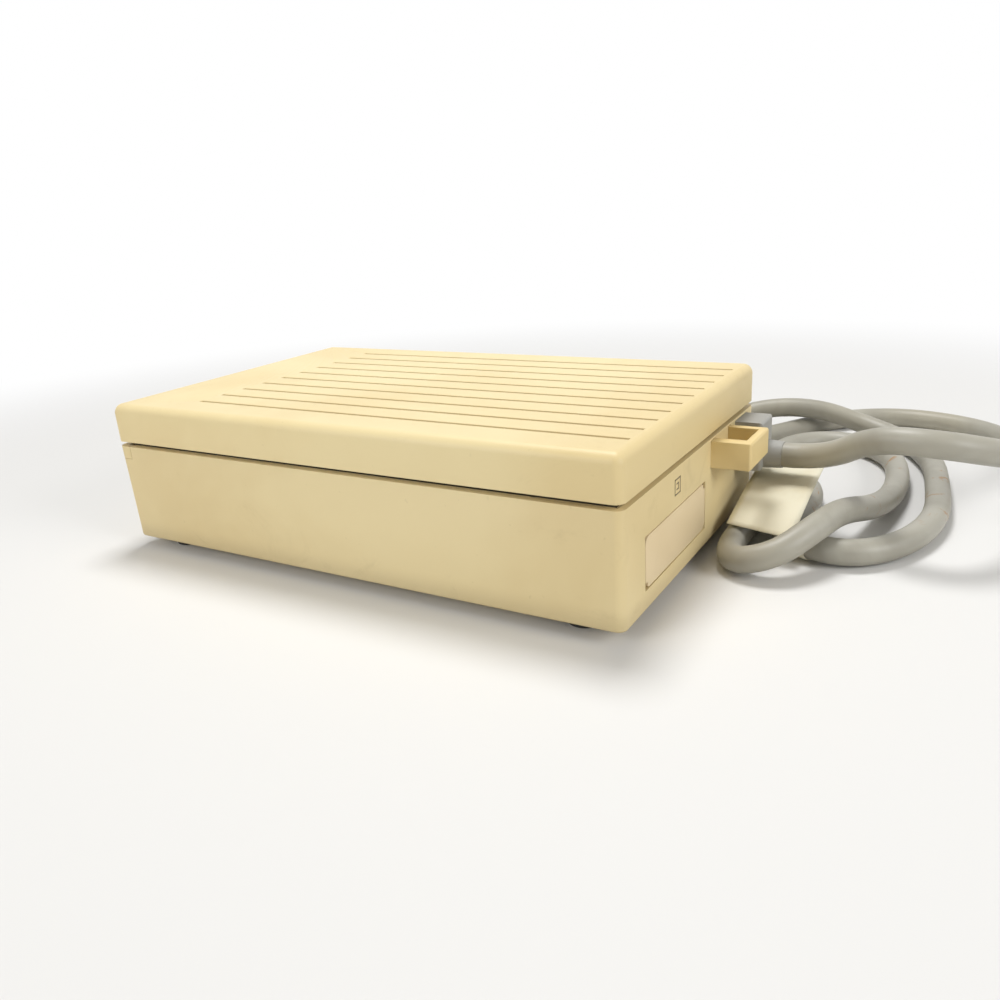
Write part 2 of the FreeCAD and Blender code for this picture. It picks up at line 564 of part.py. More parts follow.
def rubber_feet():
    """Four turned rubber feet that sit in the recesses of the floor."""
    for name, (x, y) in zip(("foot_front_right", "foot_rear_right", "foot_front_left", "foot_rear_left"), feet):
        body = doc.addObject("PartDesign::Body", name + "Body")
        half = sketch(body, name + "Half", "XZ_Plane")
        outline(half, [
            ("0.01", "0.6"), ("footRadius - 2.4", "0.6"), ("footRadius - 2.4", "0.001"), ("footRadius - 1", "0.001"),
            ("footRadius - 0.3", "feetHeight*0.4"), ("footRadius", "feetHeight + footRecess"),
            ("0.01", "feetHeight + footRecess")])
        turned = body.newObject("PartDesign::Revolution", name + "Turned")
        turned.Profile = half
        turned.ReferenceAxis = (plane(body, "Z_Axis"), [""])
        turned.Angle = 360
        doc.recompute()
        place(body, x, y, "0")
        keep(name, body)


def case_screws():
    """Four screws that come up through the floor posts into the lid's pillars."""
    parts = []
    seat = "(feetHeight + screwHeadHeight + wall)"
    for i, (x, y) in enumerate(posts):
        head = rod(f"CaseScrewHead{i}", "screwHeadRadius", "screwHeadHeight", x, y, f"{seat} - screwHeadHeight")
        shank = rod(f"CaseScrewShank{i}", "screwRadius", "screwLength", x, y, seat)
        slot = box(f"CaseScrewSlot{i}", "2*screwHeadRadius", "0.7", "0.9", f"{x} - screwHeadRadius", f"{y} - 0.35",
                   f"{seat} - screwHeadHeight - 0.2")
        parts.append(cut(f"CaseScrew{i}", fuse(f"CaseScrewWhole{i}", [head, shank]), [slot]))
    return keep("case_screws", group("CaseScrews", parts))


trayWidth = "(mechWidth + 2*shieldGap + 2*shieldThickness)"
trayFront = f"({mechFront} - shieldGap)"
trayLength = "(mechLength + 2*shieldGap + shieldThickness)"


def shield_tray():
    """A folded sheet tray under the mechanism, open at the front, with holes over the stands."""
    outer = block("TrayOuter", trayWidth, trayLength, "shieldHeight", "0", trayFront, trayBase)
    inner = block("TrayInner", f"{trayWidth} - 2*shieldThickness", f"{trayLength} - shieldThickness + 1",
                  "shieldHeight", "0", f"{trayFront} - 1", f"{trayBase} + shieldThickness")
    tools = [inner]
    for i, (x, y) in enumerate(stands):
        tools.append(rod(f"TrayHole{i}", "mechScrewRadius + 0.4", "3", x, y, f"{trayBase} - 1"))
    tools.append(block("TrayLeadSlot", "40", "shieldThickness + 4", "16", "0",
                       f"{trayFront} + {trayLength} - shieldThickness - 2", f"{trayBase} + shieldHeight - 16"))
    return keep("shield_tray", cut("TrayShape", outer, tools))


def shield_cover():
    """The sheet cover that closes the tray, with a row of slots over the motor."""
    top = f"({trayBase} + shieldHeight)"
    plate = block("CoverPlate", trayWidth, trayLength, "shieldThickness", "0", trayFront, top)
    lips = [
        box("CoverLipLeft", "shieldThickness", f"{trayLength} - 10", "6",
            f"-({trayWidth})/2 + shieldThickness + 0.05", f"{trayFront} + 5", f"{top} - 6"),
        box("CoverLipRight", "shieldThickness", f"{trayLength} - 10", "6",
            f"({trayWidth})/2 - 2*shieldThickness - 0.05", f"{trayFront} + 5", f"{top} - 6"),
    ]
    slots = []
    for i in range(int(size("ventCount"))):
        offset = i - (size("ventCount") - 1) / 2
        slots.append(block(f"Vent{i}", "3", "34", "3", f"{offset}*ventPitch", f"{spindleY} - 17", f"{top} - 1"))
    return keep("shield_cover", cut("CoverShape", fuse("CoverWhole", [plate] + lips), slots))


def chassis():
    """The cast frame: floor, side walls with pin slots, rail blocks, screw bracket and bearing seat."""
    floor = block("ChassisFloor", "mechWidth", "mechLength", "chassisFloor", "0", mechFront, chassisBase)
    parts = [floor]
    for side in ("", "-"):
        parts.append(block(f"ChassisWall{side}", "chassisWall", "mechLength", "chassisHeight",
                           f"{side}(mechWidth/2 - chassisWall/2)", mechFront, chassisBase))
    level = f"({chassisBase} + chassisFloor)"
    railRear = f"({mechRear} - railFromRear)"
    tools = []
    for side in ("", "-"):
        x = f"({side}railFromCentre)"
        for end, y in (("Rear", f"{railRear} - 4"), ("Front", f"{railRear} - railLength")):
            parts.append(block(f"RailBlock{side}{end}", "5", "3.6", f"railLevel + railRadius + 1 - {level}", x, y,
                               f"{level} - 0.5"))
        tools.append(rod(f"RailBore{side}", "railRadius", "railLength", x, f"{railRear} - railLength + 0.6",
                         "railLevel", "y"))
    leadFront = f"({mechRear} - stepperFromRear - stepperLength - leadLength)"
    parts.append(block("LeadBracket", "7", "2", f"leadLevel + 3.4 - {level}", "leadFromCentre", leadFront,
                       f"{level} - 0.5"))
    tools.append(rod("LeadBore", "leadRadius*0.7 + 0.1", "4", "leadFromCentre", f"{leadFront} - 1", "leadLevel", "y"))
    parts.append(block("StepperBracket", "2*stepperRadius + 4", "2.4", f"leadLevel + stepperRadius + 1 - {level}",
                       "leadFromCentre", f"{mechRear} - stepperFromRear - stepperLength - 2.4 + 0", f"{level} - 0.5"))
    tools.append(rod("StepperBore", "leadRadius + 1.4", "6", "leadFromCentre",
                     f"{mechRear} - stepperFromRear - stepperLength - 4", "leadLevel", "y"))
    tools.append(rod("BearingSeat", "bearingRadius", "chassisFloor + 2", "0", spindleY, f"{chassisBase} - 1"))
    for i, (x, y) in enumerate(stands):
        tools.append(rod(f"ChassisHole{i}", "mechScrewRadius + 0.3", "chassisFloor + 2", x, y, f"{chassisBase} - 1"))
    for side in ("", "-"):
        for first in ("camPinFirst", "camPinSecond"):
            tools.append(block(f"PinSlot{side}{first}", "chassisWall + 2", "2*camPinRadius + 0.6",
                               "cageLift + 2*camPinRadius + 0.8", f"{side}(mechWidth/2 - chassisWall/2)",
                               f"{cageFront} + {first} - camPinRadius - 0.3",
                               "slotLevel - cageLift - camPinRadius - 0.4"))
    tools.append(block("FloorWindow", "44", "34", "chassisFloor + 2", "0", f"{spindleY} + 46", f"{chassisBase} - 1"))
    return keep("chassis", cut("ChassisShape", fuse("ChassisWhole", parts), tools))


def chassis_screws():
    parts = []
    top = f"({chassisBase} + chassisFloor)"
    for i, (x, y) in enumerate(stands):
        shank = rod(f"MechScrewShank{i}", "mechScrewRadius", "chassisFloor + standHeight + shieldThickness", x, y,
                    f"{top} - chassisFloor - standHeight - shieldThickness + 0.4")
        head = rod(f"MechScrewHead{i}", "mechHeadRadius", "mechHeadHeight", x, y, top)
        parts.append(fuse(f"MechScrew{i}", [shank, head]))
    return keep("chassis_screws", group("MechScrews", parts))


def spindle_motor():
    """Board, bearing, stator, rotor cup with its magnet, shaft and the hub that turns the disk."""
    under = f"({chassisBase} + chassisFloor)"
    board = cut("MotorBoardShape",
                block("MotorBoardPlate", "60", "56", "motorBoardThickness", "0", f"{spindleY} - 31", under),
                [rod("MotorBoardHole", "bearingRadius + 0.2", "4", "0", spindleY, f"{under} - 1")])
    keep("motor_board", board)
    bearing = cut("BearingShape",
                  rod("BearingOuter", "bearingRadius", "bearingHeight", "0", spindleY, chassisBase),
                  [rod("BearingBore", "spindleRadius + 0.03", "bearingHeight + 2", "0", spindleY,
                       f"{chassisBase} - 1")])
    keep("spindle_bearing", bearing)
    core = rod("StatorCore", "bearingRadius + 3", "statorHeight", "0", spindleY, boardTop)
    poles = [core]
    count = int(size("poleCount"))
    reach = size("statorRadius")
    root = size("bearingRadius") + 1
    for i in range(count):
        pole = doc.addObject("Part::Box", f"Pole{i}")
        pole.setExpression("Length", bound("statorRadius - bearingRadius - 1"))
        pole.Width = 3.2
        pole.setExpression("Height", bound("statorHeight - 1"))
        turn = 360.0 * i / count
        a = math.radians(turn)
        dx = root * math.cos(a) + 1.6 * math.sin(a)
        dy = root * math.sin(a) - 1.6 * math.cos(a)
        place(pole, dx, f"{spindleY} + ({dy})", f"{boardTop} + 0.5", Vector(0, 0, 1), turn)
        poles.append(pole)
    shoe = cut("StatorShoes",
               rod("ShoeOuter", "statorRadius", "statorHeight", "0", spindleY, boardTop),
               [rod("ShoeInner", "statorRadius - 1.6", "statorHeight + 2", "0", spindleY, f"{boardTop} - 1")])
    hole = rod("StatorHole", "bearingRadius + 0.05", "statorHeight + 2", "0", spindleY, f"{boardTop} - 1")
    keep("motor_stator", cut("StatorShape", fuse("StatorWhole", poles + [shoe]), [hole]))

    cup = doc.addObject("PartDesign::Body", "RotorCup")
    half = sketch(cup, "RotorHalf", "XZ_Plane")
    top = "rotorTop"
    outline(half, [
        ("spindleRadius", f"{top} - rotorWall - 1.2"), ("spindleRadius + 2.6", f"{top} - rotorWall - 1.2"),
        ("spindleRadius + 2.6", f"{top} - rotorWall"), ("rotorRadius - rotorWall", f"{top} - rotorWall"),
        ("rotorRadius - rotorWall", "4.2"), ("rotorRadius", "4.2"), ("rotorRadius", f"{top} - 0.6"),
        ("rotorRadius - 0.6", top), ("spindleRadius", top)])
    turned = cup.newObject("PartDesign::Revolution", "RotorTurned")
    turned.Profile = half
    turned.ReferenceAxis = (plane(cup, "Z_Axis"), [""])
    turned.Angle = 360
    doc.recompute()
    place(cup, "0", spindleY, chassisBase)
    keep("rotor_cup", cup)
    magnet = cut("MagnetShape",
                 rod("MagnetOuter", "rotorRadius - rotorWall", "rotorTop - rotorWall - 4.2", "0", spindleY,
                     f"{chassisBase} + 4.2"),
                 [rod("MagnetInner", "statorRadius + rotorGap", "rotorTop", "0", spindleY, f"{chassisBase} + 3")])
    keep("rotor_magnet", magnet)
    shaft = rod("SpindleShaft", "spindleRadius", "rotorTop + hubHeight + 2.2", "0", spindleY, f"{chassisBase} + 0.6")
    keep("spindle_shaft", shaft)
    level = f"({chassisBase} + rotorTop)"
    plate = rod("HubPlate", "hubRadius", "hubHeight", "0", spindleY, level)
    pin = rod("DrivePin", "drivePinRadius", "hubHeight + 1.6", "drivePinFrom", spindleY, level)
    bore = rod("HubBore", "spindleRadius", "hubHeight + 2", "0", spindleY, f"{level} - 1")
    keep("drive_hub", cut("HubShape", fuse("HubWhole", [plate, pin]), [bore]))


carriageY = f"({spindleY} + carriageFromSpindle)"
headY = f"({spindleY} + headFromSpindle)"
leadFrontY = f"({mechRear} - stepperFromRear - stepperLength - leadLength)"


def head_positioner():
    """Rails, stepper motor with its grooved screw, and the carriage with both heads."""
    rails = []
    for side in ("", "-"):
        rails.append(rod(f"Rail{side}", "railRadius", "railLength - 1.2", f"{side}railFromCentre",
                         f"{mechRear} - railFromRear - railLength + 0.6", "railLevel", "y"))
    keep("guide_rails", group("GuideRails", rails))

    can = rod("StepperCan", "stepperRadius", "stepperLength - 2", "leadFromCentre",
              f"{mechRear} - stepperFromRear - stepperLength + 1", "leadLevel", "y")
    flange = rod("StepperFlange", "stepperRadius", "1", "leadFromCentre",
                 f"{mechRear} - stepperFromRear - stepperLength", "leadLevel", "y")
    band = cut("StepperBand",
               rod("BandOuter", "stepperRadius + 0.1", "1", "leadFromCentre",
                   f"{mechRear} - stepperFromRear - stepperLength/2 - 0.5", "leadLevel", "y"),
               [rod("BandInner", "stepperRadius - 0.6", "3", "leadFromCentre",
                    f"{mechRear} - stepperFromRear - stepperLength/2 - 1.5", "leadLevel", "y")])
    bore = rod("StepperShaftBore", "leadRadius + 0.1", "stepperLength - 4", "leadFromCentre",
               f"{mechRear} - stepperFromRear - stepperLength - 1", "leadLevel", "y")
    keep("stepper_motor", cut("StepperShape", fuse("StepperWhole", [can, flange, band]), [bore]))

    shaft = rod("LeadShaft", "leadRadius", "leadLength - 2.4 + stepperLength - 6", "leadFromCentre",
                f"{leadFrontY} + 2.4", "leadLevel", "y")
    tip = rod("LeadTip", "leadRadius*0.7", "2.8", "leadFromCentre", f"{leadFrontY} - 0.2", "leadLevel", "y")
    rings = []
    turns = int((size("leadLength") - 6) / size("leadPitch"))
    for i in range(turns):
        ring = doc.addObject("Part::Torus", f"LeadGroove{i}")
        ring.setExpression("Radius1", bound("leadRadius + leadGroove*0.4"))
        ring.setExpression("Radius2", bound("leadGroove"))
        place(ring, "leadFromCentre", f"{leadFrontY} + 4 + {i}*leadPitch", "leadLevel", Vector(1, 0, 0), 97)
        rings.append(ring)
    keep("lead_screw", cut("LeadShape", fuse("LeadWhole", [shaft, tip]), rings))

    low = "(railLevel - carriageHeight/2)"
    bar = block("CarriageBar", "2*railFromCentre + 8", "carriageLength", "carriageHeight", "0", carriageY, low)
    nose = block("CarriageNose", "14", "carriageFromSpindle - headFromSpindle + 6", "1.8", "0", f"{headY} - 4.5",
                 "(railLevel + carriageHeight/2 + 1.7)")
    step = block("CarriageStep", "14", "8", "3.5", "0", f"{carriageY} + 0.5", "(railLevel + carriageHeight/2 - 0.1)")
    tower = block("CarriageTower", "12", "6", "armPivotLevel + 2.4 - railLevel", "0", f"{carriageY} + 18",
                  "railLevel")
    fork = box("CarriageFork", "leadFromCentre + 2.6 - railFromCentre", "4", "3.2", "railFromCentre",
               f"{carriageY} + 18", "railLevel - 0.2")
    nut = box("CarriageNut", "5.2", "4", "leadLevel + 0.6 - railLevel", "leadFromCentre - 2.6",
              f"{carriageY} + 18", "railLevel - 0.2")
    tools = []
    for side in ("", "-"):
        tools.append(rod(f"CarriageBore{side}", "railRadius + 0.04", "carriageLength + 2", f"{side}railFromCentre",
                         f"{carriageY} - 1", "railLevel", "y"))
    tools.append(block("CarriageRelief", "22", "8", "carriageHeight + 2", "0", f"{carriageY} + 9.4", f"{low} - 1"))
    tools.append(rod("NutBore", "leadRadius + 0.3", "6", "leadFromCentre", f"{carriageY} + 17", "leadLevel", "y"))
    tools.append(block("TowerSlot", "armWidth - 5.6", "8", "6", "0", f"{carriageY} + 17", "armPivotLevel - 3"))
    tools.append(rod("PivotBore", "armPivotRadius", "20", "-10", f"{carriageY} + 21", "armPivotLevel", "x"))
    whole = fuse("CarriageWhole", [bar, step, nose, tower, fork, nut])
    keep("head_carriage", cut("CarriageShape", whole, tools))
    noseTop = "(railLevel + carriageHeight/2 + 3.5)"
    lower = rod("LowerHeadDisc", "headRadius", "0.9", "0", headY, noseTop)
    keep("lower_head", lower)
    keep("arm_pin", rod("ArmPin", "armPivotRadius - 0.02", "12", "-6", f"{carriageY} + 21", "armPivotLevel", "x"))

    arm = block("ArmPlate", "armWidth - 6.4", f"{carriageY} + 23.2 - ({headY} - 4)", "armThickness", "0",
                f"{headY} - 4", "armPivotLevel - armThickness/2")
    eye = rod("ArmEye", "armPivotRadius + 1.2", "armWidth - 6.4", "-(armWidth - 6.4)/2", f"{carriageY} + 21",
              "armPivotLevel", "x")
    seat = block("ArmSeat", "armWidth - 6.4", "8", "armThickness + 0.6", "0", f"{headY} - 4",
                 "armPivotLevel - armThickness/2 - 0.6")
    hole = rod("ArmEyeBore", "armPivotRadius + 0.03", "20", "-10", f"{carriageY} + 21", "armPivotLevel", "x")
    keep("head_arm", cut("ArmShape", fuse("ArmWhole", [arm, eye, seat]), [hole]))
    keep("upper_head", rod("UpperHeadDisc", "headRadius", "0.9", "0", headY,
                           "armPivotLevel - armThickness/2 - 0.6 - 0.9"))


def disk_cage():
    """The folded carrier that holds the disk, with four cam pins and a window for heads and hub."""
    low = "(slotLevel - cageInner/2 - cageSheet)"
    outer = block("CageOuter", "cageWidth", "cageLength", "cageInner + 2*cageSheet", "0", cageFront, low)
    inner = block("CageInner", "cageWidth - 2*cageSheet", "cageLength + 2", "cageInner", "0", f"{cageFront} - 1",
                  f"{low} + cageSheet")
    under = block("CageUnder", "cageWidth - 2*cageSheet - 2*cageLip", "cageLength + 2", "2*cageSheet", "0",
                  f"{cageFront} - 1", f"{low} - 0.5*cageSheet")
    window = box("CageWindow", "leverFromCentre - 3.5 + 12", "40", "3", "-(leverFromCentre - 3.5)",
                 f"{cageFront} + cageLength - 38", f"{low} + cageSheet + cageInner - 1")
    lobby = block("CageLobby", "60", "16", "3", "0", f"{cageFront} - 1", f"{low} + cageSheet + cageInner - 1")
    pins = []
    for side in ("", "-"):
        for first in ("camPinFirst", "camPinSecond"):
            start = "(cageWidth/2 - cageSheet)" if side == "" else "(-(cageWidth/2 - cageSheet) - 3.4)"
            pins.append(rod(f"CamPin{side}{first}", "camPinRadius", "3.4", start, f"{cageFront} + {first}",
                            "slotLevel", "x"))
    shell = cut("CageShell", outer, [inner, under, window, lobby])
    return keep("disk_cage", fuse("CageShape", [shell] + pins))


def eject_slider():
    """The sliding frame over the cage: a cross plate, two flanges with slanted cam slots and the button's arm."""
    inside = "(cageWidth/2 + 0.45)"
    top = "(slotLevel + cageInner/2 + cageSheet + 1.2)"
    low = "(slotLevel - cageLift - camPinRadius - 2.2)"
    front = f"({cageFront} + 2)"
    parts = [block("SliderBridge", f"2*{inside} + 2*sliderSheet", "28", "sliderSheet", "0", f"{front} + 14", top)]
    tools = []
    for side in ("", "-"):
        centre = f"({side}({inside} + sliderSheet/2))"
        parts.append(block(f"SliderFlange{side}", "sliderSheet", "sliderLength", f"{top} + sliderSheet - {low}",
                           centre, front, low))
        for first in ("camPinFirst", "camPinSecond"):
            tools += cam_slot(side, first, centre)
    ledge = "(buttonLevel - sliderSheet/2)"
    left = "(buttonFromCentre - tieWidth/2)"
    parts.append(box("SliderLeg", "sliderSheet", "16", f"{low} + 1 - {ledge}", inside, f"{front} - 6", ledge))
    parts.append(box("SliderFoot", f"{inside} + sliderSheet - {left}", "6", "sliderSheet", left, f"{front} - 6", ledge))
    start = f"({leaning('buttonLevel')} - buttonProud + buttonWall)"
    parts.append(box("SliderTie", "tieWidth", f"{front} - 5.5 - {start}", "sliderSheet", left, start, ledge))
    return keep("eject_slider", cut("SliderShape", fuse("SliderWhole", parts), tools))


def cam_slot(side, first, centre):
    """A slanted slot: along it the pin sinks by the cage's lift while the frame slides its travel."""
    play = size("camPinRadius") + 0.25
    travel, lift = size("sliderTravel"), size("cageLift")
    slant = math.degrees(math.atan2(lift, travel))
    run = doc.addObject("Part::Box", f"CamRun{side}{first}")
    run.setExpression("Length", bound("sliderSheet + 2"))
    run.Width = math.hypot(travel, lift)
    run.Height = 2 * play
    a = math.radians(slant)
    place(run, f"{centre} - sliderSheet/2 - 1", f"{cageFront} + {first} + ({-play * math.sin(a)})",
          f"slotLevel + ({-play * math.cos(a)})", Vector(1, 0, 0), -slant)
    ends = []
    for name, dy, dz in (("Up", 0, 0), ("Down", travel, -lift)):
        ends.append(rod(f"CamEnd{name}{side}{first}", play, "sliderSheet + 2", f"{centre} - sliderSheet/2 - 1",
                        f"{cageFront} + {first} + ({dy})", f"slotLevel + ({dz})", "x"))
    return [run] + ends


def shutter_lever():
    """The lever that swings as the disk goes in and pulls its shutter open."""
    level = "(slotLevel + cageInner/2 + cageSheet + 0.15)"
    pivot_y = f"({cageFront} + cageLength - leverFromRear)"
    slant = math.radians(70)
    bar = doc.addObject("Part::Box", "LeverBar")
    for prop, text in (("Length", "leverLength"), ("Width", "leverWidth"), ("Height", "leverSheet")):
        bar.setExpression(prop, bound(text))
    half = size("leverWidth") / 2
    place(bar, f"-leverFromCentre + ({-half * math.sin(slant)})", f"{pivot_y} + ({-half * math.cos(slant)})", level,
          Vector(0, 0, 1), -70)
    reach = size("leverLength")
    tip_x = f"-leverFromCentre + ({reach * math.cos(slant)})"
    tip_y = f"{pivot_y} + ({-reach * math.sin(slant)})"
    parts = [
        bar,
        rod("LeverEye", "leverWidth/2 + 0.6", "leverSheet", "-leverFromCentre", pivot_y, level),
        rod("LeverTip", "leverWidth/2", "leverSheet", tip_x, tip_y, level),
        rod("LeverFinger", "1.2", "3.4", tip_x, tip_y, f"{level} - 2.6"),
    ]
    hole = rod("LeverBore", "leverPivotRadius + 0.05", "4", "-leverFromCentre", pivot_y, f"{level} - 1")
    keep("shutter_lever", cut("LeverShape", fuse("LeverWhole", parts), [hole]))
    rivet = [
        rod("RivetShank", "leverPivotRadius", "leverSheet + 0.3 + 0.15", "-leverFromCentre", pivot_y,
            "slotLevel + cageInner/2 + cageSheet"),
        rod("RivetHead", "leverPivotRadius + 0.9", "0.7", "-leverFromCentre", pivot_y,
            "slotLevel + cageInner/2 + cageSheet + 0.3 + leverSheet + 0.15"),
    ]
    return keep("lever_rivet", fuse("RivetShape", rivet))


def sensor_switches():
    """Three plunger switches beside the disk's front corners."""
    parts = []
    level = f"({chassisBase} + chassisFloor)"
    for i, x in enumerate(("-36", "-30", "36")):
        body = block(f"SwitchBody{i}", "4.6", "7", "6.4", x, f"{mechFront} + 8", level)
        plunger = rod(f"SwitchPlunger{i}", "0.9", "2.4", x, f"{mechFront} + 11.5", f"{level} + 6")
        parts.append(fuse(f"Switch{i}", [body, plunger]))
    return keep("sensor_switches", group("SensorSwitches", parts))


boardY = f"({mechRear} + boardFromMech)"
boardLow = "(feetHeight + wall + boardLift)"


def interface_board():
    plate = block("BoardPlate", "boardWidth", "boardLength", "boardSheet", "0", boardY, boardLow)
    keep("interface_board", plate)
    chips = []
    for i in range(3):
        body = block(f"ChipBody{i}", "chipLength", "chipWidth", "chipHeight - 0.8", f"{26 * (i - 1)}",
                     f"{boardY} + 4", f"{boardLow} + boardSheet + 0.8")
        legs = []
        for side in (0, 1):
            for k in range(5):
                legs.append(block(f"ChipLeg{i}{side}{k}", "1.2", "0.5", "1.9", f"{26 * (i - 1) + 4 * (k - 2)}",
                                  f"{boardY} + 4 - 0.35 + {side}*(chipWidth + 0.2)", f"{boardLow} + boardSheet"))
        chips.append(fuse(f"Chip{i}", [body] + legs))
    keep("board_chips", group("BoardChips", chips))
    socket = cut("SocketShape",
                 block("SocketBody", "26", "8", "9", "0", f"{boardY} + 15", f"{boardLow} + boardSheet"),
                 [block("SocketMouth", "23", "5.6", "7", "0", f"{boardY} + 16.2", f"{boardLow} + boardSheet + 4")])
    keep("board_socket", socket)
    lead = [
        block("RibbonDown", "22", "0.9", "12", "0", f"{boardY} + 18.6", f"{boardLow} + boardSheet + 4.4"),
        block("RibbonAcross", "22", f"{boardY} + 19.5 - ({mechRear} - 6)", "0.9", "0", f"{mechRear} - 6",
              f"{boardLow} + boardSheet + 15.9"),
    ]
    return keep("ribbon_cable", fuse("RibbonShape", lead))


def board_stands():
    return [rod(f"BoardStand{i}", "2.6", "boardLift + wall/2", x, y, "feetHeight + wall/2")
            for i, (x, y) in enumerate(four_corners("boardWidth/2 - 4", f"{boardY} + 3",
                                                    f"{boardY} + boardLength - 3"))]


plugX = "(-plugFromCentre)"
plugFront = "(plugRearY - plugLength)"

route = [
    (-46, 110.65, 26.2), (-46, 125, 26.2), (-29, 142, 39.5), (-26, 162, 40), (-42, 178, 34), (-70, 186, 26),
    (-101, 190, 15), (-133, 190, 6), (-163, 183, 4.5), (-187, 163, 4.5), (-197, 132, 4.5), (-184, 104, 4.5),
    (-155, 87, 4.5), (-127, 70, 4.5), (-98, 73, 4.5), (-81, 94, 4.5), (-62, 107, 4.5), (-36, 101.5, 4.5),
    (-7, 100.8, 4.5), (5, 108, 5), (4, 121, 9), (-9, 129.5, 14.2), (-28, 134, 14.5), (-52, 141, 8),
    (-77, 144, 4.5), (-102, 143, 4.5), (-128, 137, 4.5), (-146, 118, 4.5), (-141, 98, 4.5), (-118, 89, 4.5),
    (-95, 102, 4.5), (-71, 118, 4.5), (-43, 116, 4.5), (-20, 117, 4.5), (-13, 136, 4.5), (-29, 154, 4.5),
    (-58, 161, 4.5), (-92, 158, 4.5), (-126, 153, 4.5), (-156, 138, 4.5), (-166, 118, 8), (-164, 98, 14.5),
    (-159, 76, 14.5), (-146, 55, 9), (-122, 41, 7.5), (-122, 27, 7.5)]


tagCorner = (-14.7, 100, 10)
tagAcross = (6.1, 23.2, 0)
tagBack = (-48.7, -0.4, 10)
tagRise = 0.205


def rounded(points, share=0.45):
    """Straight runs joined by tangent arcs; gives the edges and each arc's radius."""
    edges, radii = [], []
    at = points[0]
    for before, corner, after in zip(points, points[1:], points[2:]):
        back = (before - corner).normalize()
        ahead = (after - corner).normalize()
        reach = share * min((before - corner).Length, (after - corner).Length)
        half_turn = (math.pi - back.getAngle(ahead)) / 2
        radii.append(reach / math.tan(half_turn))
        start, end = corner + back * reach, corner + ahead * reach
        inward = (back + ahead).normalize()
        middle = corner + inward * (math.hypot(radii[-1], reach) - radii[-1])
        edges.append(Part.LineSegment(at, start).toShape())
        edges.append(Part.Arc(start, middle, end).toShape())
        at = end
    edges.append(Part.LineSegment(at, points[-1]).toShape())
    return edges, radii


def signal_cable():
    """The round cable along its route over the table, from the strain relief to the plug."""
    radius = size("cableRadius")
    points = [Vector(*point) for point in route]
    edges, radii = rounded(points)
    line = Part.Wire(edges)
    ring = Part.Wire(Part.Circle(points[0], points[1] - points[0], radius).toShape())
    tube = line.makePipeShell([ring], True, False)
    expected = math.pi * radius ** 2 * line.Length
    print("cable length", round(line.Length, 1), "volume ratio", round(tube.Volume / expected, 4))
    print("cable bend radii", [round(value, 1) for value in radii])
    if abs(tube.Volume / expected - 1) > 0.02:
        raise ValueError("the cable's tube is folded")
    item = doc.addObject("Part::Feature", "SignalCable")
    item.Shape = tube
    return keep("signal_cable", item)


def paper_tag():
    """A bare paper tag: a band round the cable, a short tail, and a sheet that leans over the strands."""
    start, end = Vector(*route[31]), Vector(*route[32])
    along = (end - start).normalize()
    centre = start + (end - start) * 0.54
    inner = size("cableRadius") + size("fitGap") / 2
    outer = inner + size("tagSheet")
    neck, thick = size("tagNeck"), size("tagSheet")
    foot = centre - along * (neck / 2)
    band = Part.makeCylinder(outer, neck, foot, along).cut(
        Part.makeCylinder(inner, neck + 2, foot - along, along))
    low_corner = Vector(*tagCorner)
    across = Vector(*tagAcross).normalize() * size("tagWidth")
    back = Vector(*tagBack).normalize() * size("tagLength")
    normal = across.cross(back).normalize()
    leaf = Part.Face(Part.makePolygon([
        low_corner, low_corner + across, low_corner + across + back, low_corner + back,
        low_corner])).extrude(normal * thick)
    level = low_corner.z + (low_corner.x - centre.x) * tagRise
    tail = Part.makeBox(neck, thick, level - centre.z - inner - thick / 2)
    tail.Placement = FreeCAD.Placement(
        foot + Vector(0, 0, inner + thick / 2), Rotation(Vector(1, 0, 0), along))
    item = doc.addObject("Part::Feature", "PaperTag")
    item.Shape = band.fuse([leaf, tail]).removeSplitter()
    return keep("cord_tag", item)


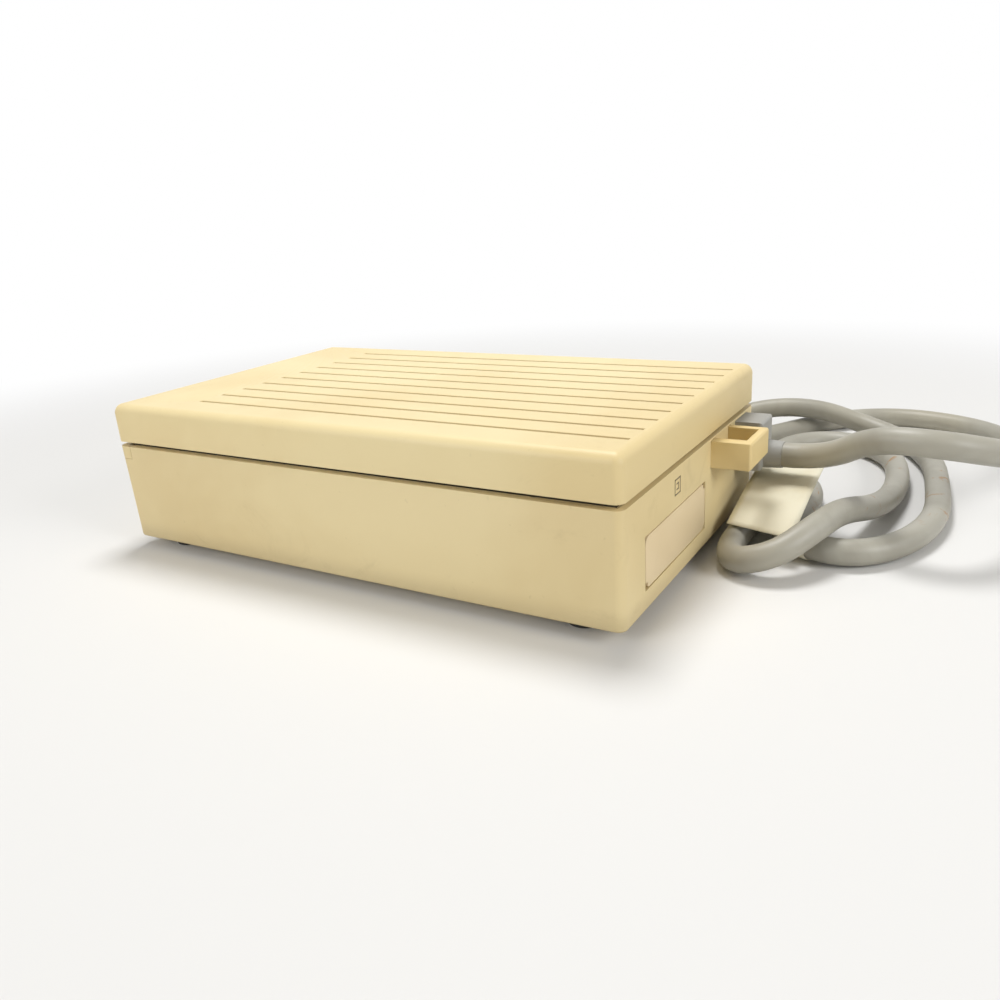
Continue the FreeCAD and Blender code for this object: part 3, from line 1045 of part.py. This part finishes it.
def plug():
    """The plug at the cable's far end: hood, metal shell, pin block and two thumbscrews."""
    low = "(plugLevel - plugHeight/2)"
    core = block("HoodCore", "plugWidth", "plugLength - plugNeckLength", "plugHeight", plugX, plugFront, low)
    soft = doc.addObject("Part::Fillet", "HoodRound")
    soft.Base = core
    doc.recompute()
    radius = size("plugRound")
    soft.Edges = [(i, radius, radius) for i, edge in enumerate(core.Shape.Edges, start=1)
                  if edge.Vertexes[0].Point.distanceToPoint(edge.Vertexes[-1].Point) > 0.1
                  and abs(edge.Vertexes[0].Point.z - edge.Vertexes[-1].Point.z) > 1]
    neck = cone("HoodNeck", "plugNeckRadius + 1", "plugNeckRadius", "plugNeckLength + 1 + 9", plugX,
                "plugRearY - plugNeckLength - 1", "plugLevel", "y")
    bores = []
    for side, sign in (("Right", ""), ("Left", "-")):
        bores.append(rod(f"ThumbBore{side}", "thumbShankRadius + 0.1", "plugLength", f"{plugX} {sign or '+'} thumbFromCentre",
                         f"{plugFront} - 1", "plugLevel", "y"))
    keep("plug_hood", cut("HoodShape", fuse("HoodWhole", [soft, neck]), bores))

    flange = block("ShellFlange", "plugShellWidth + 4", "plugShellWall", "plugShellHeight + 3", plugX,
                   f"{plugFront} - plugShellWall", "plugLevel - plugShellHeight/2 - 1.5")
    tube = block("ShellTube", "plugShellWidth", "plugShellReach", "plugShellHeight", plugX,
                 f"{plugFront} - plugShellReach", "plugLevel - plugShellHeight/2")
    hollow = block("ShellHollow", "plugShellWidth - 2*plugShellWall", "plugShellReach + 2",
                   "plugShellHeight - 2*plugShellWall", plugX, f"{plugFront} - plugShellReach - 1",
                   "plugLevel - plugShellHeight/2 + plugShellWall")
    keep("plug_shell", cut("ShellShape", fuse("ShellWhole", [flange, tube]), [hollow]))

    carrier = block("PinCarrier", "plugShellWidth - 2*plugShellWall - 0.2", "2.4",
                    "plugShellHeight - 2*plugShellWall - 0.2", plugX, f"{plugFront} - 2.4",
                    "plugLevel - plugShellHeight/2 + plugShellWall + 0.1")
    pins = [carrier]
    upper = (int(size("plugPins")) + 1) // 2
    for i in range(int(size("plugPins"))):
        row = 0 if i < upper else 1
        across = (i if row == 0 else i - upper + 0.5) - (upper - 1) / 2
        pins.append(rod(f"PlugPin{i}", "plugPinRadius", "3", f"{plugX} + {across}*plugPinPitch",
                        f"{plugFront} - 5", f"plugLevel + {0.5 - row}*plugPinRow", "y"))
    keep("plug_pins", fuse("PinsShape", pins))

    rear = "(plugRearY - plugNeckLength)"
    for side, sign in (("right", "+"), ("left", "-")):
        x = f"{plugX} {sign} thumbFromCentre"
        shank = rod(f"ThumbShank_{side}", "thumbShankRadius", f"{rear} + 1 - ({plugFront} - 6)", x,
                    f"{plugFront} - 6", "plugLevel", "y")
        head = rod(f"ThumbHead_{side}", "thumbRadius", "thumbLength", x, f"{rear} + fitGap", "plugLevel", "y")
        keep(f"plug_screw_{side}", fuse(f"Thumb_{side}", [shank, head]))


for make in (lower_case, top_lid, front_bezel, dust_flap, eject_button, activity_lamp, port_cover, cord_loop,
             strain_relief, rubber_feet, case_screws, shield_tray, shield_cover, chassis, chassis_screws,
             spindle_motor, head_positioner, disk_cage, eject_slider, shutter_lever, sensor_switches,
             interface_board, signal_cable, paper_tag, plug):
    make()
doc.recompute()

for item in doc.Objects:
    if "Invalid" in item.State or "Error" in item.State:
        raise RuntimeError(f"{item.Name} failed: {item.State}")
os.makedirs("parts", exist_ok=True)
for name, item in nodes.items():
    shape = item.Shape
    if shape.isNull() or not shape.isValid():
        raise RuntimeError(f"{name} has no valid shape")
    shape.exportStep(f"parts/{name}.step")
    print(f"{name:18s} {len(shape.Solids):3d} solids {shape.Volume:11.1f} mm3  {shape.BoundBox}")
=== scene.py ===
import json
import math

import bmesh
import bpy
from mathutils import Matrix, Vector


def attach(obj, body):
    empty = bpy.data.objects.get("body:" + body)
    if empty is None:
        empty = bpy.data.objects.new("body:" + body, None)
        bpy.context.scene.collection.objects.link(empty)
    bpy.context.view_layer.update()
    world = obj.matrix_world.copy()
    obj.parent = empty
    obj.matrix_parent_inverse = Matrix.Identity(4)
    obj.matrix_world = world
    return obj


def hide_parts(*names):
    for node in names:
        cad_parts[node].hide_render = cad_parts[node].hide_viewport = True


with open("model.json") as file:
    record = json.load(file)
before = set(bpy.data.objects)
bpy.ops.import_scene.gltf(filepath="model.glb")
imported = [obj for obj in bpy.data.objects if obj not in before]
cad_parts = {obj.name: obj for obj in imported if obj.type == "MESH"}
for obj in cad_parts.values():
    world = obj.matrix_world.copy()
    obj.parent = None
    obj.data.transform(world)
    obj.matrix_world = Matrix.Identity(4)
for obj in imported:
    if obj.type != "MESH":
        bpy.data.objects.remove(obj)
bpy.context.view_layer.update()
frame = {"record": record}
mm = 0.001


# Sockets that take part in Python expressions: each sign adds a Math node.
class Wire:
    def __init__(self, finish, socket):
        self.finish = finish
        self.socket = socket

    def maths(self, operation, first, second):
        return self.finish.node("ShaderNodeMath", {"operation": operation}, {0: first, 1: second})

    def __add__(self, other):
        return self.maths("ADD", self, other)

    def __radd__(self, other):
        return self.maths("ADD", other, self)

    def __sub__(self, other):
        return self.maths("SUBTRACT", self, other)

    def __rsub__(self, other):
        return self.maths("SUBTRACT", other, self)

    def __mul__(self, other):
        return self.maths("MULTIPLY", self, other)

    def __rmul__(self, other):
        return self.maths("MULTIPLY", other, self)

    def __truediv__(self, other):
        return self.maths("DIVIDE", self, other)


class Finish:
    def __init__(self, name):
        self.material = bpy.data.materials.new(name)
        self.material.use_nodes = True
        self.tree = self.material.node_tree
        self.shader = self.tree.nodes["Principled BSDF"]

    def node(self, kind, settings=None, values=None, output=0):
        made = self.tree.nodes.new(kind)
        for key, value in (settings or {}).items():
            setattr(made, key, value)
        for key, value in (values or {}).items():
            self.feed(made.inputs[key], value)
        return Wire(self, made.outputs[output])

    def feed(self, socket, value):
        if isinstance(value, Wire):
            self.tree.links.new(value.socket, socket)
        elif isinstance(value, (tuple, list)) and len(value) == 3 and socket.type == "RGBA":
            socket.default_value = (*value, 1)
        else:
            socket.default_value = value

    def place(self):
        return self.node("ShaderNodeTexCoord", output="Object")

    def axis(self, letter):
        return self.node("ShaderNodeSeparateXYZ", {}, {0: self.place()}, output="XYZ".index(letter))

    def noise(self, scale, detail=3, rough=0.5, vector=None, warp=0.0):
        return self.node("ShaderNodeTexNoise", {}, {
            "Vector": vector or self.place(), "Scale": scale, "Detail": detail, "Roughness": rough,
            "Distortion": warp})

    def step(self, value, low, high):
        return self.node("ShaderNodeMapRange", {"interpolation_type": "SMOOTHSTEP"},
                         {"Value": value, "From Min": low, "From Max": high})

    def band(self, letter, low, high, soft):
        value = self.axis(letter)
        return self.step(value, low - soft, low) * (1 - self.step(value, high, high + soft))

    def mix(self, amount, first, second, blend="MIX"):
        made = self.tree.nodes.new("ShaderNodeMix")
        made.data_type = "RGBA"
        made.blend_type = blend
        self.feed(made.inputs[0], amount)
        self.feed(made.inputs[6], first)
        self.feed(made.inputs[7], second)
        return Wire(self, made.outputs[2])

    def bump(self, height, strength, depth, under=None):
        values = {"Height": height, "Strength": strength, "Distance": depth}
        if under is not None:
            values["Normal"] = under
        return self.node("ShaderNodeBump", {}, values)

    def out(self, **values):
        for key, value in values.items():
            self.feed(self.shader.inputs[key.replace("_", " ")], value)
        return self.material


# Painted shade sits in the seam under the lid and on the floors of the lid's grooves: both are painted dark
# where shade falls.
seam = {"z": (0.0401, 0.0416), "soft": 0.0001, "dust": (0.012, 0.009, 0.006)}
grooves = {"x": (-0.0484, 0.0484), "y": (-0.1035, 0.0905), "z": (0.0540, 0.0550), "dust": (0.20, 0.12, 0.045)}


# Moulded plastic that has yellowed: fine spark texture, uneven tone, grime, a tone that turns darker towards
# the bottom, and faint scratches.
def moulded(name, base, aged, rough=0.5, grain=2600, grainDepth=0.00005, grime=0.35,
            stain=(0.16, 0.10, 0.045), seamed=False, grooved=False):
    skin = Finish(name)
    patches = skin.step(skin.noise(9, 4, 0.6, warp=0.4), 0.35, 0.68)
    tone = skin.mix(patches, base, aged)
    speck = skin.step(skin.noise(420, 2, 0.5), 0.70, 0.78)
    cloud = skin.step(skin.noise(38, 5, 0.7, warp=1.2), 0.56, 0.80)
    dirt = cloud * grime * 0.35 + speck * grime * 0.25
    # darker towards the bottom: below 12 mm the tone is mixed towards the stain colour
    low = 1 - skin.step(skin.axis("Z"), 0.004, 0.012)
    tone = skin.mix(dirt + low * grime * 0.6, tone, stain)
    if seamed:
        # painted shade: the seam gap between lid and case is painted near-black
        tone = skin.mix(skin.band("Z", *seam["z"], seam["soft"]) * 0.97, tone, seam["dust"])
    if grooved:
        # painted shade: the floors of the lid's grooves are painted dark brown
        inside = skin.band("X", *grooves["x"], 0.0003) * skin.band("Y", *grooves["y"], 0.0003)
        tone = skin.mix(inside * skin.band("Z", *grooves["z"], 0.0001) * 0.8, tone, grooves["dust"])
    stretched = skin.node("ShaderNodeMapping", {}, {"Vector": skin.place(), "Rotation": (0.3, 0.2, 0.9),
                                                    "Scale": (900, 14, 300)})
    scratch = skin.step(skin.noise(1, 2, 0.6, vector=stretched), 0.72, 0.76)
    fine = skin.noise(grain, 3, 0.6)
    wave = skin.noise(60, 2, 0.4)
    normal = skin.bump(wave, 0.25, 0.0003)
    normal = skin.bump(fine, 0.5, grainDepth, normal)
    normal = skin.bump(scratch, 0.25, -0.00004, normal)
    polish = rough + (fine - 0.5) * 0.16 + cloud * 0.10 - scratch * 0.08
    return skin.out(Base_Color=tone, Roughness=polish, Normal=normal, Specular_IOR_Level=0.42)


# Sheet and turned metal: brushing along one axis, fine pits and a warm film.
def metal(name, base, rough=0.32, along=(20, 900, 900), film=(0.55, 0.50, 0.42), filmShare=0.25):
    skin = Finish(name)
    lines = skin.node("ShaderNodeMapping", {}, {"Vector": skin.place(), "Scale": along})
    brush = skin.noise(1, 3, 0.6, vector=lines)
    cloud = skin.step(skin.noise(60, 4, 0.6), 0.45, 0.75)
    tone = skin.mix(cloud * filmShare, base, film, "MULTIPLY")
    normal = skin.bump(brush, 0.3, 0.00002)
    return skin.out(Base_Color=tone, Metallic=1.0, Roughness=rough + (brush - 0.5) * 0.25 + cloud * 0.08,
                    Normal=normal)


def plain(name, base, deep, rough=0.6, scale=500, depth=0.00004):
    skin = Finish(name)
    fine = skin.noise(scale, 4, 0.6)
    tone = skin.mix(skin.step(fine, 0.35, 0.7), base, deep)
    return skin.out(Base_Color=tone, Roughness=rough + (fine - 0.5) * 0.2, Normal=skin.bump(fine, 0.4, depth))


def jacket():
    skin = Finish("cableJacket")
    cloud = skin.noise(26, 4, 0.6, warp=0.6)
    tone = skin.mix(skin.step(cloud, 0.35, 0.7), (0.37, 0.355, 0.30), (0.29, 0.275, 0.225))
    yellow = skin.step(skin.noise(11, 3, 0.5), 0.5, 0.75)
    tone = skin.mix(yellow * 0.35, tone, (0.47, 0.41, 0.27))
    rust = skin.step(skin.noise(75, 5, 0.7, warp=1.5), 0.58, 0.70)
    near = skin.node("ShaderNodeVectorMath", {"operation": "DISTANCE"},
                     {0: skin.place(), 1: (-0.085, 0.143, 0.005)}, output=1)
    rust = rust * (1 - skin.step(near, 0.03, 0.065))
    tone = skin.mix(rust * 0.75, tone, (0.36, 0.17, 0.045))
    fine = skin.noise(1500, 2, 0.5)
    normal = skin.bump(fine, 0.25, 0.00003, skin.bump(skin.noise(140, 2, 0.5), 0.25, 0.00015))
    return skin.out(Base_Color=tone, Roughness=0.46 + (fine - 0.5) * 0.12 + rust * 0.2, Normal=normal,
                    Specular_IOR_Level=0.5)


def tagPaper():
    skin = Finish("tagPaper")
    fibre = skin.noise(900, 5, 0.7)
    cloud = skin.step(skin.noise(45, 4, 0.6), 0.4, 0.75)
    tone = skin.mix(cloud * 0.5, (0.80, 0.76, 0.60), (0.68, 0.60, 0.40))
    crease = skin.noise(90, 3, 0.6, warp=2)
    return skin.out(Base_Color=tone, Roughness=0.85 + (fibre - 0.5) * 0.1,
                    Normal=skin.bump(fibre, 0.5, 0.00004, skin.bump(crease, 0.3, 0.0004)))


def lampLens():
    skin = Finish("lampLens")
    ribs = skin.noise(900, 2, 0.5)
    tone = skin.mix(skin.step(ribs, 0.3, 0.7), (0.06, 0.26, 0.07), (0.03, 0.15, 0.04))
    return skin.out(Base_Color=tone, Roughness=0.22 + ribs * 0.08, Normal=skin.bump(ribs, 0.2, 0.00002),
                    Transmission_Weight=0.3)


shades = {
    "lid": ((0.76, 0.635, 0.355), (0.70, 0.56, 0.29)),
    "case": ((0.74, 0.615, 0.345), (0.67, 0.535, 0.28)),
    "panel": ((0.76, 0.625, 0.40), (0.69, 0.55, 0.335)),
    "loop": ((0.76, 0.60, 0.30), (0.68, 0.51, 0.22)),
    "grey": ((0.37, 0.365, 0.34), (0.29, 0.285, 0.26)),
}
lidPlastic = moulded("lidPlastic", *shades["lid"], rough=0.46, grime=0.25, seamed=True, grooved=True)
casePlastic = moulded("casePlastic", *shades["case"], rough=0.5, seamed=True)
panelPlastic = moulded("panelPlastic", *shades["panel"], rough=0.5)
loopPlastic = moulded("loopPlastic", *shades["loop"], rough=0.5)
greyPlastic = moulded("greyPlastic", *shades["grey"], rough=0.55, stain=(0.12, 0.10, 0.07))
finishes = {
    "case_plastic": casePlastic,
    "front_plastic": moulded("frontPlastic", *shades["case"], rough=0.48),
    "cover_plastic": panelPlastic,
    "grey_plastic": greyPlastic,
    "black_rubber": plain("footRubber", (0.020, 0.020, 0.021), (0.045, 0.043, 0.04), 0.75, 700),
    "cable_jacket": jacket(),
    "lamp_lens": lampLens(),
    "flap_plastic": moulded(
        "flapPlastic", (0.075, 0.072, 0.066), (0.055, 0.052, 0.048), rough=0.55, grime=0.1),
    "steel": metal("screwSteel", (0.60, 0.60, 0.61)),
    "sheet_steel": metal("sheetSteel", (0.66, 0.665, 0.66), 0.36, (40, 700, 700)),
    "cast_frame": plain("castFrame", (0.50, 0.50, 0.51), (0.42, 0.42, 0.43), 0.5, 900, 0.00006),
    "brass": metal("bearingBrass", (0.75, 0.58, 0.26), 0.3),
    "board_green": plain("boardGreen", (0.015, 0.11, 0.045), (0.03, 0.15, 0.06), 0.38, 300),
    "black_plastic": moulded(
        "blackPlastic", (0.022, 0.022, 0.024), (0.035, 0.034, 0.034), rough=0.5, grime=0.1),
    "white_plastic": moulded("whitePlastic", (0.72, 0.71, 0.66), (0.66, 0.64, 0.57), rough=0.5, grime=0.1),
    "paper": tagPaper(),
    "iron": plain("magnetIron", (0.10, 0.10, 0.105), (0.06, 0.06, 0.062), 0.6, 900),
    "chrome": metal("turnedChrome", (0.72, 0.72, 0.73), 0.14, (300, 300, 300), filmShare=0.1),
    "copper": metal("windingCopper", (0.70, 0.33, 0.15), 0.35, (900, 900, 200)),
}
print("finishes made:", len(finishes))

for entry in frame["record"]["subparts"]:
    node = bpy.data.objects.get(entry["node"])
    node.data.materials.clear()
    node.data.materials.append(finishes[entry["material_slot"]])
bpy.data.objects["top_lid"].data.materials[0] = lidPlastic
bpy.data.objects["cord_loop"].data.materials[0] = loopPlastic


# The view of the photograph, fitted to the case's own corners.
eye = {
    "place": (0.2590, 0.18035, 0.1205),
    "right": (-0.5045, 0.8612, -0.0628),
    "down": (0.3206, 0.1193, -0.9397),
    "ahead": (-0.8017, -0.4941, -0.3363),
    "lens": 31.46, "shiftX": -0.003, "shiftY": 0.004,
}


def makeCamera():
    data = bpy.data.cameras.new("camera")
    data.lens = eye["lens"]
    data.sensor_width = 36
    data.shift_x, data.shift_y = eye["shiftX"], eye["shiftY"]
    data.clip_start = 0.01
    camera = bpy.data.objects.new("camera", data)
    up, behind = ([-value for value in eye[key]] for key in ("down", "ahead"))
    turn = Matrix((eye["right"], up, behind)).transposed()
    camera.matrix_world = Matrix.Translation(eye["place"]) @ turn.to_4x4()
    bpy.context.collection.objects.link(camera)
    bpy.context.scene.camera = camera


def addPiece(name, mesh, body, slot, finish, *nodes):
    piece = bpy.data.objects.new(name, mesh)
    bpy.context.collection.objects.link(piece)
    mesh.materials.append(finish)
    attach(piece, body)
    if nodes:
        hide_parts(*nodes)
    return piece


# The mouldings get their small edge rounds: a merged copy of the solid's surface with a fine bevel.
mouldings = {
    "width": 0.00022, "segments": 2, "angle": 0.6, "flat": 0.008,
    "bodies": {
        "lower_case": "case", "top_lid": "case", "front_bezel": "case", "port_cover": "case",
        "cord_loop": "case", "plug_hood": "case", "dust_flap": "flap", "eject_button": "slider"},
}


def makeMoulding(node, body):
    solid = bpy.data.objects[node]
    form = bmesh.new()
    form.from_mesh(solid.data)
    bmesh.ops.remove_doubles(form, verts=form.verts, dist=0.000002)
    bmesh.ops.dissolve_limit(form, angle_limit=mouldings["flat"], verts=form.verts, edges=form.edges)
    for face in form.faces:
        face.smooth = True
    mesh = bpy.data.meshes.new(node + "Moulding")
    form.to_mesh(mesh)
    form.free()
    slot = next(entry["material_slot"] for entry in frame["record"]["subparts"] if entry["node"] == node)
    piece = addPiece(node + "Moulding", mesh, body, slot, solid.data.materials[0], node)
    edges = piece.modifiers.new("edges", "BEVEL")
    edges.width = mouldings["width"]
    edges.segments = mouldings["segments"]
    edges.limit_method = "ANGLE"
    edges.angle_limit = mouldings["angle"]
    edges.harden_normals = True


# A paper tag held by a band round one strand, leaning back over the others.
tag = {
    "corner": (-14.7, 100.0, 10.0), "across": (6.1, 23.2, 0.0), "back": (-48.7, -0.4, 10.0),
    "bow": 0.9, "steps": (10, 20), "sheet": 0.3,
    "centre": (-17.2, 126.0, 5.1), "along": (0.399, 0.917, 0.0),
    "radius": 4.62, "band": 4.0, "turns": 28, "tail": 7.0, "tailHalf": 2.4, "tailStart": 0.2, "tailLift": 0.15,
}


def makeTag():
    form = bmesh.new()
    corner, across, back = (Vector(tag[key]) for key in ("corner", "across", "back"))
    rows, columns = tag["steps"]
    grid = []
    for i in range(rows + 1):
        for j in range(columns + 1):
            u, v = i / rows, j / columns
            rise = tag["bow"] * math.sin(math.pi * v) * (0.7 + 0.3 * u)
            grid.append(form.verts.new((corner + across * u + back * v + Vector((0, 0, rise))) * mm))
    for i in range(rows):
        for j in range(columns):
            first = i * (columns + 1) + j
            below = first + columns + 1
            form.faces.new((grid[first], grid[below], grid[below + 1], grid[first + 1]))
    centre, along = Vector(tag["centre"]), Vector(tag["along"]).normalized()
    side = Vector((along.y, -along.x, 0))
    rings = []
    for reach in (-tag["band"] / 2, tag["band"] / 2):
        ring = []
        for k in range(tag["turns"]):
            angle = 2 * math.pi * k / tag["turns"]
            outward = side * math.sin(angle) + Vector((0, 0, math.cos(angle)))
            ring.append(form.verts.new((centre + along * reach + outward * tag["radius"]) * mm))
        rings.append(ring)
    for k in range(tag["turns"]):
        after = (k + 1) % tag["turns"]
        form.faces.new((rings[0][k], rings[0][after], rings[1][after], rings[1][k]))
    top = centre + Vector((0, 0, tag["radius"]))
    near = top - along * (tag["band"] / 2 - tag["tailStart"])
    far = top - along * tag["tail"]
    far.z = corner.z + (far.x - corner.x) * back.z / back.x + tag["tailLift"]
    half = side * tag["tailHalf"]
    form.faces.new([form.verts.new(point * mm) for point in (near - half, near + half, far + half, far - half)])
    bmesh.ops.recalc_face_normals(form, faces=form.faces)
    for face in form.faces:
        face.smooth = True
    mesh = bpy.data.meshes.new("paperTag")
    form.to_mesh(mesh)
    form.free()
    piece = addPiece("paperTag", mesh, "case", "paper", finishes["paper"], "cord_tag")
    sheet = piece.modifiers.new("sheet", "SOLIDIFY")
    sheet.thickness = tag["sheet"] * mm
    sheet.offset = 0


# The small square mark on the rear wall above the port panel.
mark = {"x": (17.5, 22.5), "z": (31.3, 36.5), "y": 95.05, "line": 0.45, "proud": 0.06, "inset": 1.5}


def makeMark():
    form = bmesh.new()
    (left, right), (low, high), line = mark["x"], mark["z"], mark["line"]
    inset = mark["inset"]
    west, east, base, crown = left + inset, right - inset, low + inset, high - inset
    bars = [(left, right, low, low + line), (left, right, high - line, high), (left, left + line, low, high),
            (right - line, right, low, high), (west, east, base, base + line),
            (west, west + line, base, crown), (west, east, crown - line, crown)]
    for x0, x1, z0, z1 in bars:
        bar = bmesh.ops.create_cube(form, size=1)["verts"]
        bmesh.ops.scale(form, vec=((x1 - x0) * mm, 2 * mark["proud"] * mm, (z1 - z0) * mm), verts=bar)
        bmesh.ops.translate(form, vec=((x0 + x1) / 2 * mm, mark["y"] * mm, (z0 + z1) / 2 * mm), verts=bar)
    mesh = bpy.data.meshes.new("rearMark")
    form.to_mesh(mesh)
    form.free()
    ink = plain("rearInk", (0.16, 0.12, 0.07), (0.24, 0.18, 0.10), 0.55)
    addPiece("rearMark", mesh, "case", "case_plastic", ink)


# The cable lies where the photograph shows it; these are its line's control points, in millimetres.
cable = {
    "radius": 4.4, "length": 1.13,
    "route": [
        (-46, 110.65, 26.2), (-46, 125, 26.2), (-29, 142, 39.5), (-26, 162, 40), (-42, 178, 34),
        (-70, 186, 26), (-101, 190, 15), (-133, 190, 6), (-163, 183, 4.5), (-187, 163, 4.5),
        (-197, 132, 4.5), (-184, 104, 4.5), (-155, 87, 4.5), (-127, 70, 4.5), (-98, 73, 4.5),
        (-81, 94, 4.5), (-62, 107, 4.5), (-36, 103, 4.5), (-8.5, 102.6, 4.5), (5, 108, 5),
        (4, 121, 9), (-9, 129.5, 14.2), (-28, 134, 14.5), (-52, 141, 8), (-77, 144, 4.5),
        (-102, 143, 4.5), (-128, 137, 4.5), (-146, 118, 4.5), (-141, 98, 4.5), (-118, 89, 4.5),
        (-95, 102, 4.5), (-71, 118, 4.5), (-43, 117.2, 4.5), (-22, 115, 5.1), (-12, 138, 5.1),
        (-29, 154, 4.5), (-58, 161, 4.5), (-92, 158, 4.5), (-126, 153, 4.5), (-156, 138, 4.5),
        (-166, 118, 8), (-164, 98, 14.5), (-159, 76, 14.5), (-146, 55, 9), (-122, 41, 7.5),
        (-122, 27, 7.5)],
}


def makeCable():
    curve = bpy.data.curves.new("signalCable", "CURVE")
    curve.dimensions = "3D"
    line = curve.splines.new("NURBS")
    line.points.add(len(cable["route"]) - 1)
    for point, (x, y, z) in zip(line.points, cable["route"]):
        point.co = (x * mm, y * mm, z * mm, 1)
    line.order_u = 3
    line.use_endpoint_u = True
    line.resolution_u = 12
    curve.bevel_depth = cable["radius"] * mm
    curve.bevel_resolution = 8
    curve.use_fill_caps = True
    curve.materials.append(finishes["cable_jacket"])
    piece = bpy.data.objects.new("signalCable", curve)
    bpy.context.collection.objects.link(piece)
    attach(piece, "case")
    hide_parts("signal_cable")


makeCamera()
for node, body in mouldings["bodies"].items():
    makeMoulding(node, body)
makeTag()
makeMark()
makeCable()
print("camera, mouldings, tag and cable made")


# A pale table under a soft sky, brighter where only the camera looks.
def makeStudio():
    world = bpy.data.worlds.new("studio")
    bpy.context.scene.world = world
    world.use_nodes = True
    tree = world.node_tree
    tree.nodes.clear()
    path = tree.nodes.new("ShaderNodeLightPath")
    seen = tree.nodes.new("ShaderNodeMath")
    seen.operation = "MAXIMUM"
    through = tree.nodes.new("ShaderNodeMath")
    through.operation = "MAXIMUM"
    tree.links.new(path.outputs["Is Camera Ray"], seen.inputs[0])
    tree.links.new(path.outputs["Is Glossy Ray"], seen.inputs[1])
    tree.links.new(seen.outputs[0], through.inputs[0])
    tree.links.new(path.outputs["Is Transmission Ray"], through.inputs[1])
    soft = tree.nodes.new("ShaderNodeBackground")
    soft.inputs[0].default_value = (1.0, 0.98, 0.95, 1)
    soft.inputs[1].default_value = 0.24
    white = tree.nodes.new("ShaderNodeBackground")
    white.inputs[0].default_value = (1, 1, 1, 1)
    white.inputs[1].default_value = 1.0
    choose = tree.nodes.new("ShaderNodeMixShader")
    end = tree.nodes.new("ShaderNodeOutputWorld")
    tree.links.new(through.outputs[0], choose.inputs[0])
    tree.links.new(soft.outputs[0], choose.inputs[1])
    tree.links.new(white.outputs[0], choose.inputs[2])
    tree.links.new(choose.outputs[0], end.inputs[0])

    form = bmesh.new()
    bmesh.ops.create_grid(form, x_segments=1, y_segments=1, size=4)
    mesh = bpy.data.meshes.new("table")
    form.to_mesh(mesh)
    form.free()
    table = bpy.data.objects.new("table", mesh)
    bpy.context.collection.objects.link(table)
    paper = Finish("tablePaper")
    mesh.materials.append(paper.out(Base_Color=(0.72, 0.715, 0.70), Roughness=0.7))
    distance = paper.node("ShaderNodeVectorMath", {"operation": "LENGTH"}, {0: paper.place()}, output=1)
    seenDirectly = paper.node("ShaderNodeLightPath", output="Is Camera Ray")
    plainWhite = paper.node("ShaderNodeEmission", {}, {"Color": (1, 1, 1), "Strength": 1.0})
    lit = Wire(paper, paper.shader.outputs[0])
    blend = paper.node("ShaderNodeMixShader", {}, {
        0: paper.step(distance, 0.26, 0.55) * seenDirectly, 1: lit, 2: plainWhite})
    paper.feed(paper.tree.nodes["Material Output"].inputs["Surface"], blend)

    lamps = {
        "overhead": {"place": (-0.22, -0.10, 0.90), "aim": (0, 0, 0), "size": 0.34, "power": 6.4},
        "side": {"place": (0.85, -0.35, 0.45), "aim": (0, 0, 0.03), "size": 0.6, "power": 4.2},
        "rear": {"place": (0.10, 0.95, 0.45), "aim": (0, 0.1, 0.02), "size": 0.5, "power": 4.9},
    }
    for name, lamp in lamps.items():
        light = bpy.data.lights.new(name, "AREA")
        light.shape = "DISK"
        light.size = lamp["size"]
        light.energy = lamp["power"]
        holder = bpy.data.objects.new(name, light)
        spot = Vector(lamp["place"])
        holder.location = spot
        holder.rotation_euler = (Vector(lamp["aim"]) - spot).to_track_quat("-Z", "Y").to_euler()
        bpy.context.collection.objects.link(holder)
    bpy.context.scene.view_settings.view_transform = "Standard"


makeStudio()
print("scene ready")
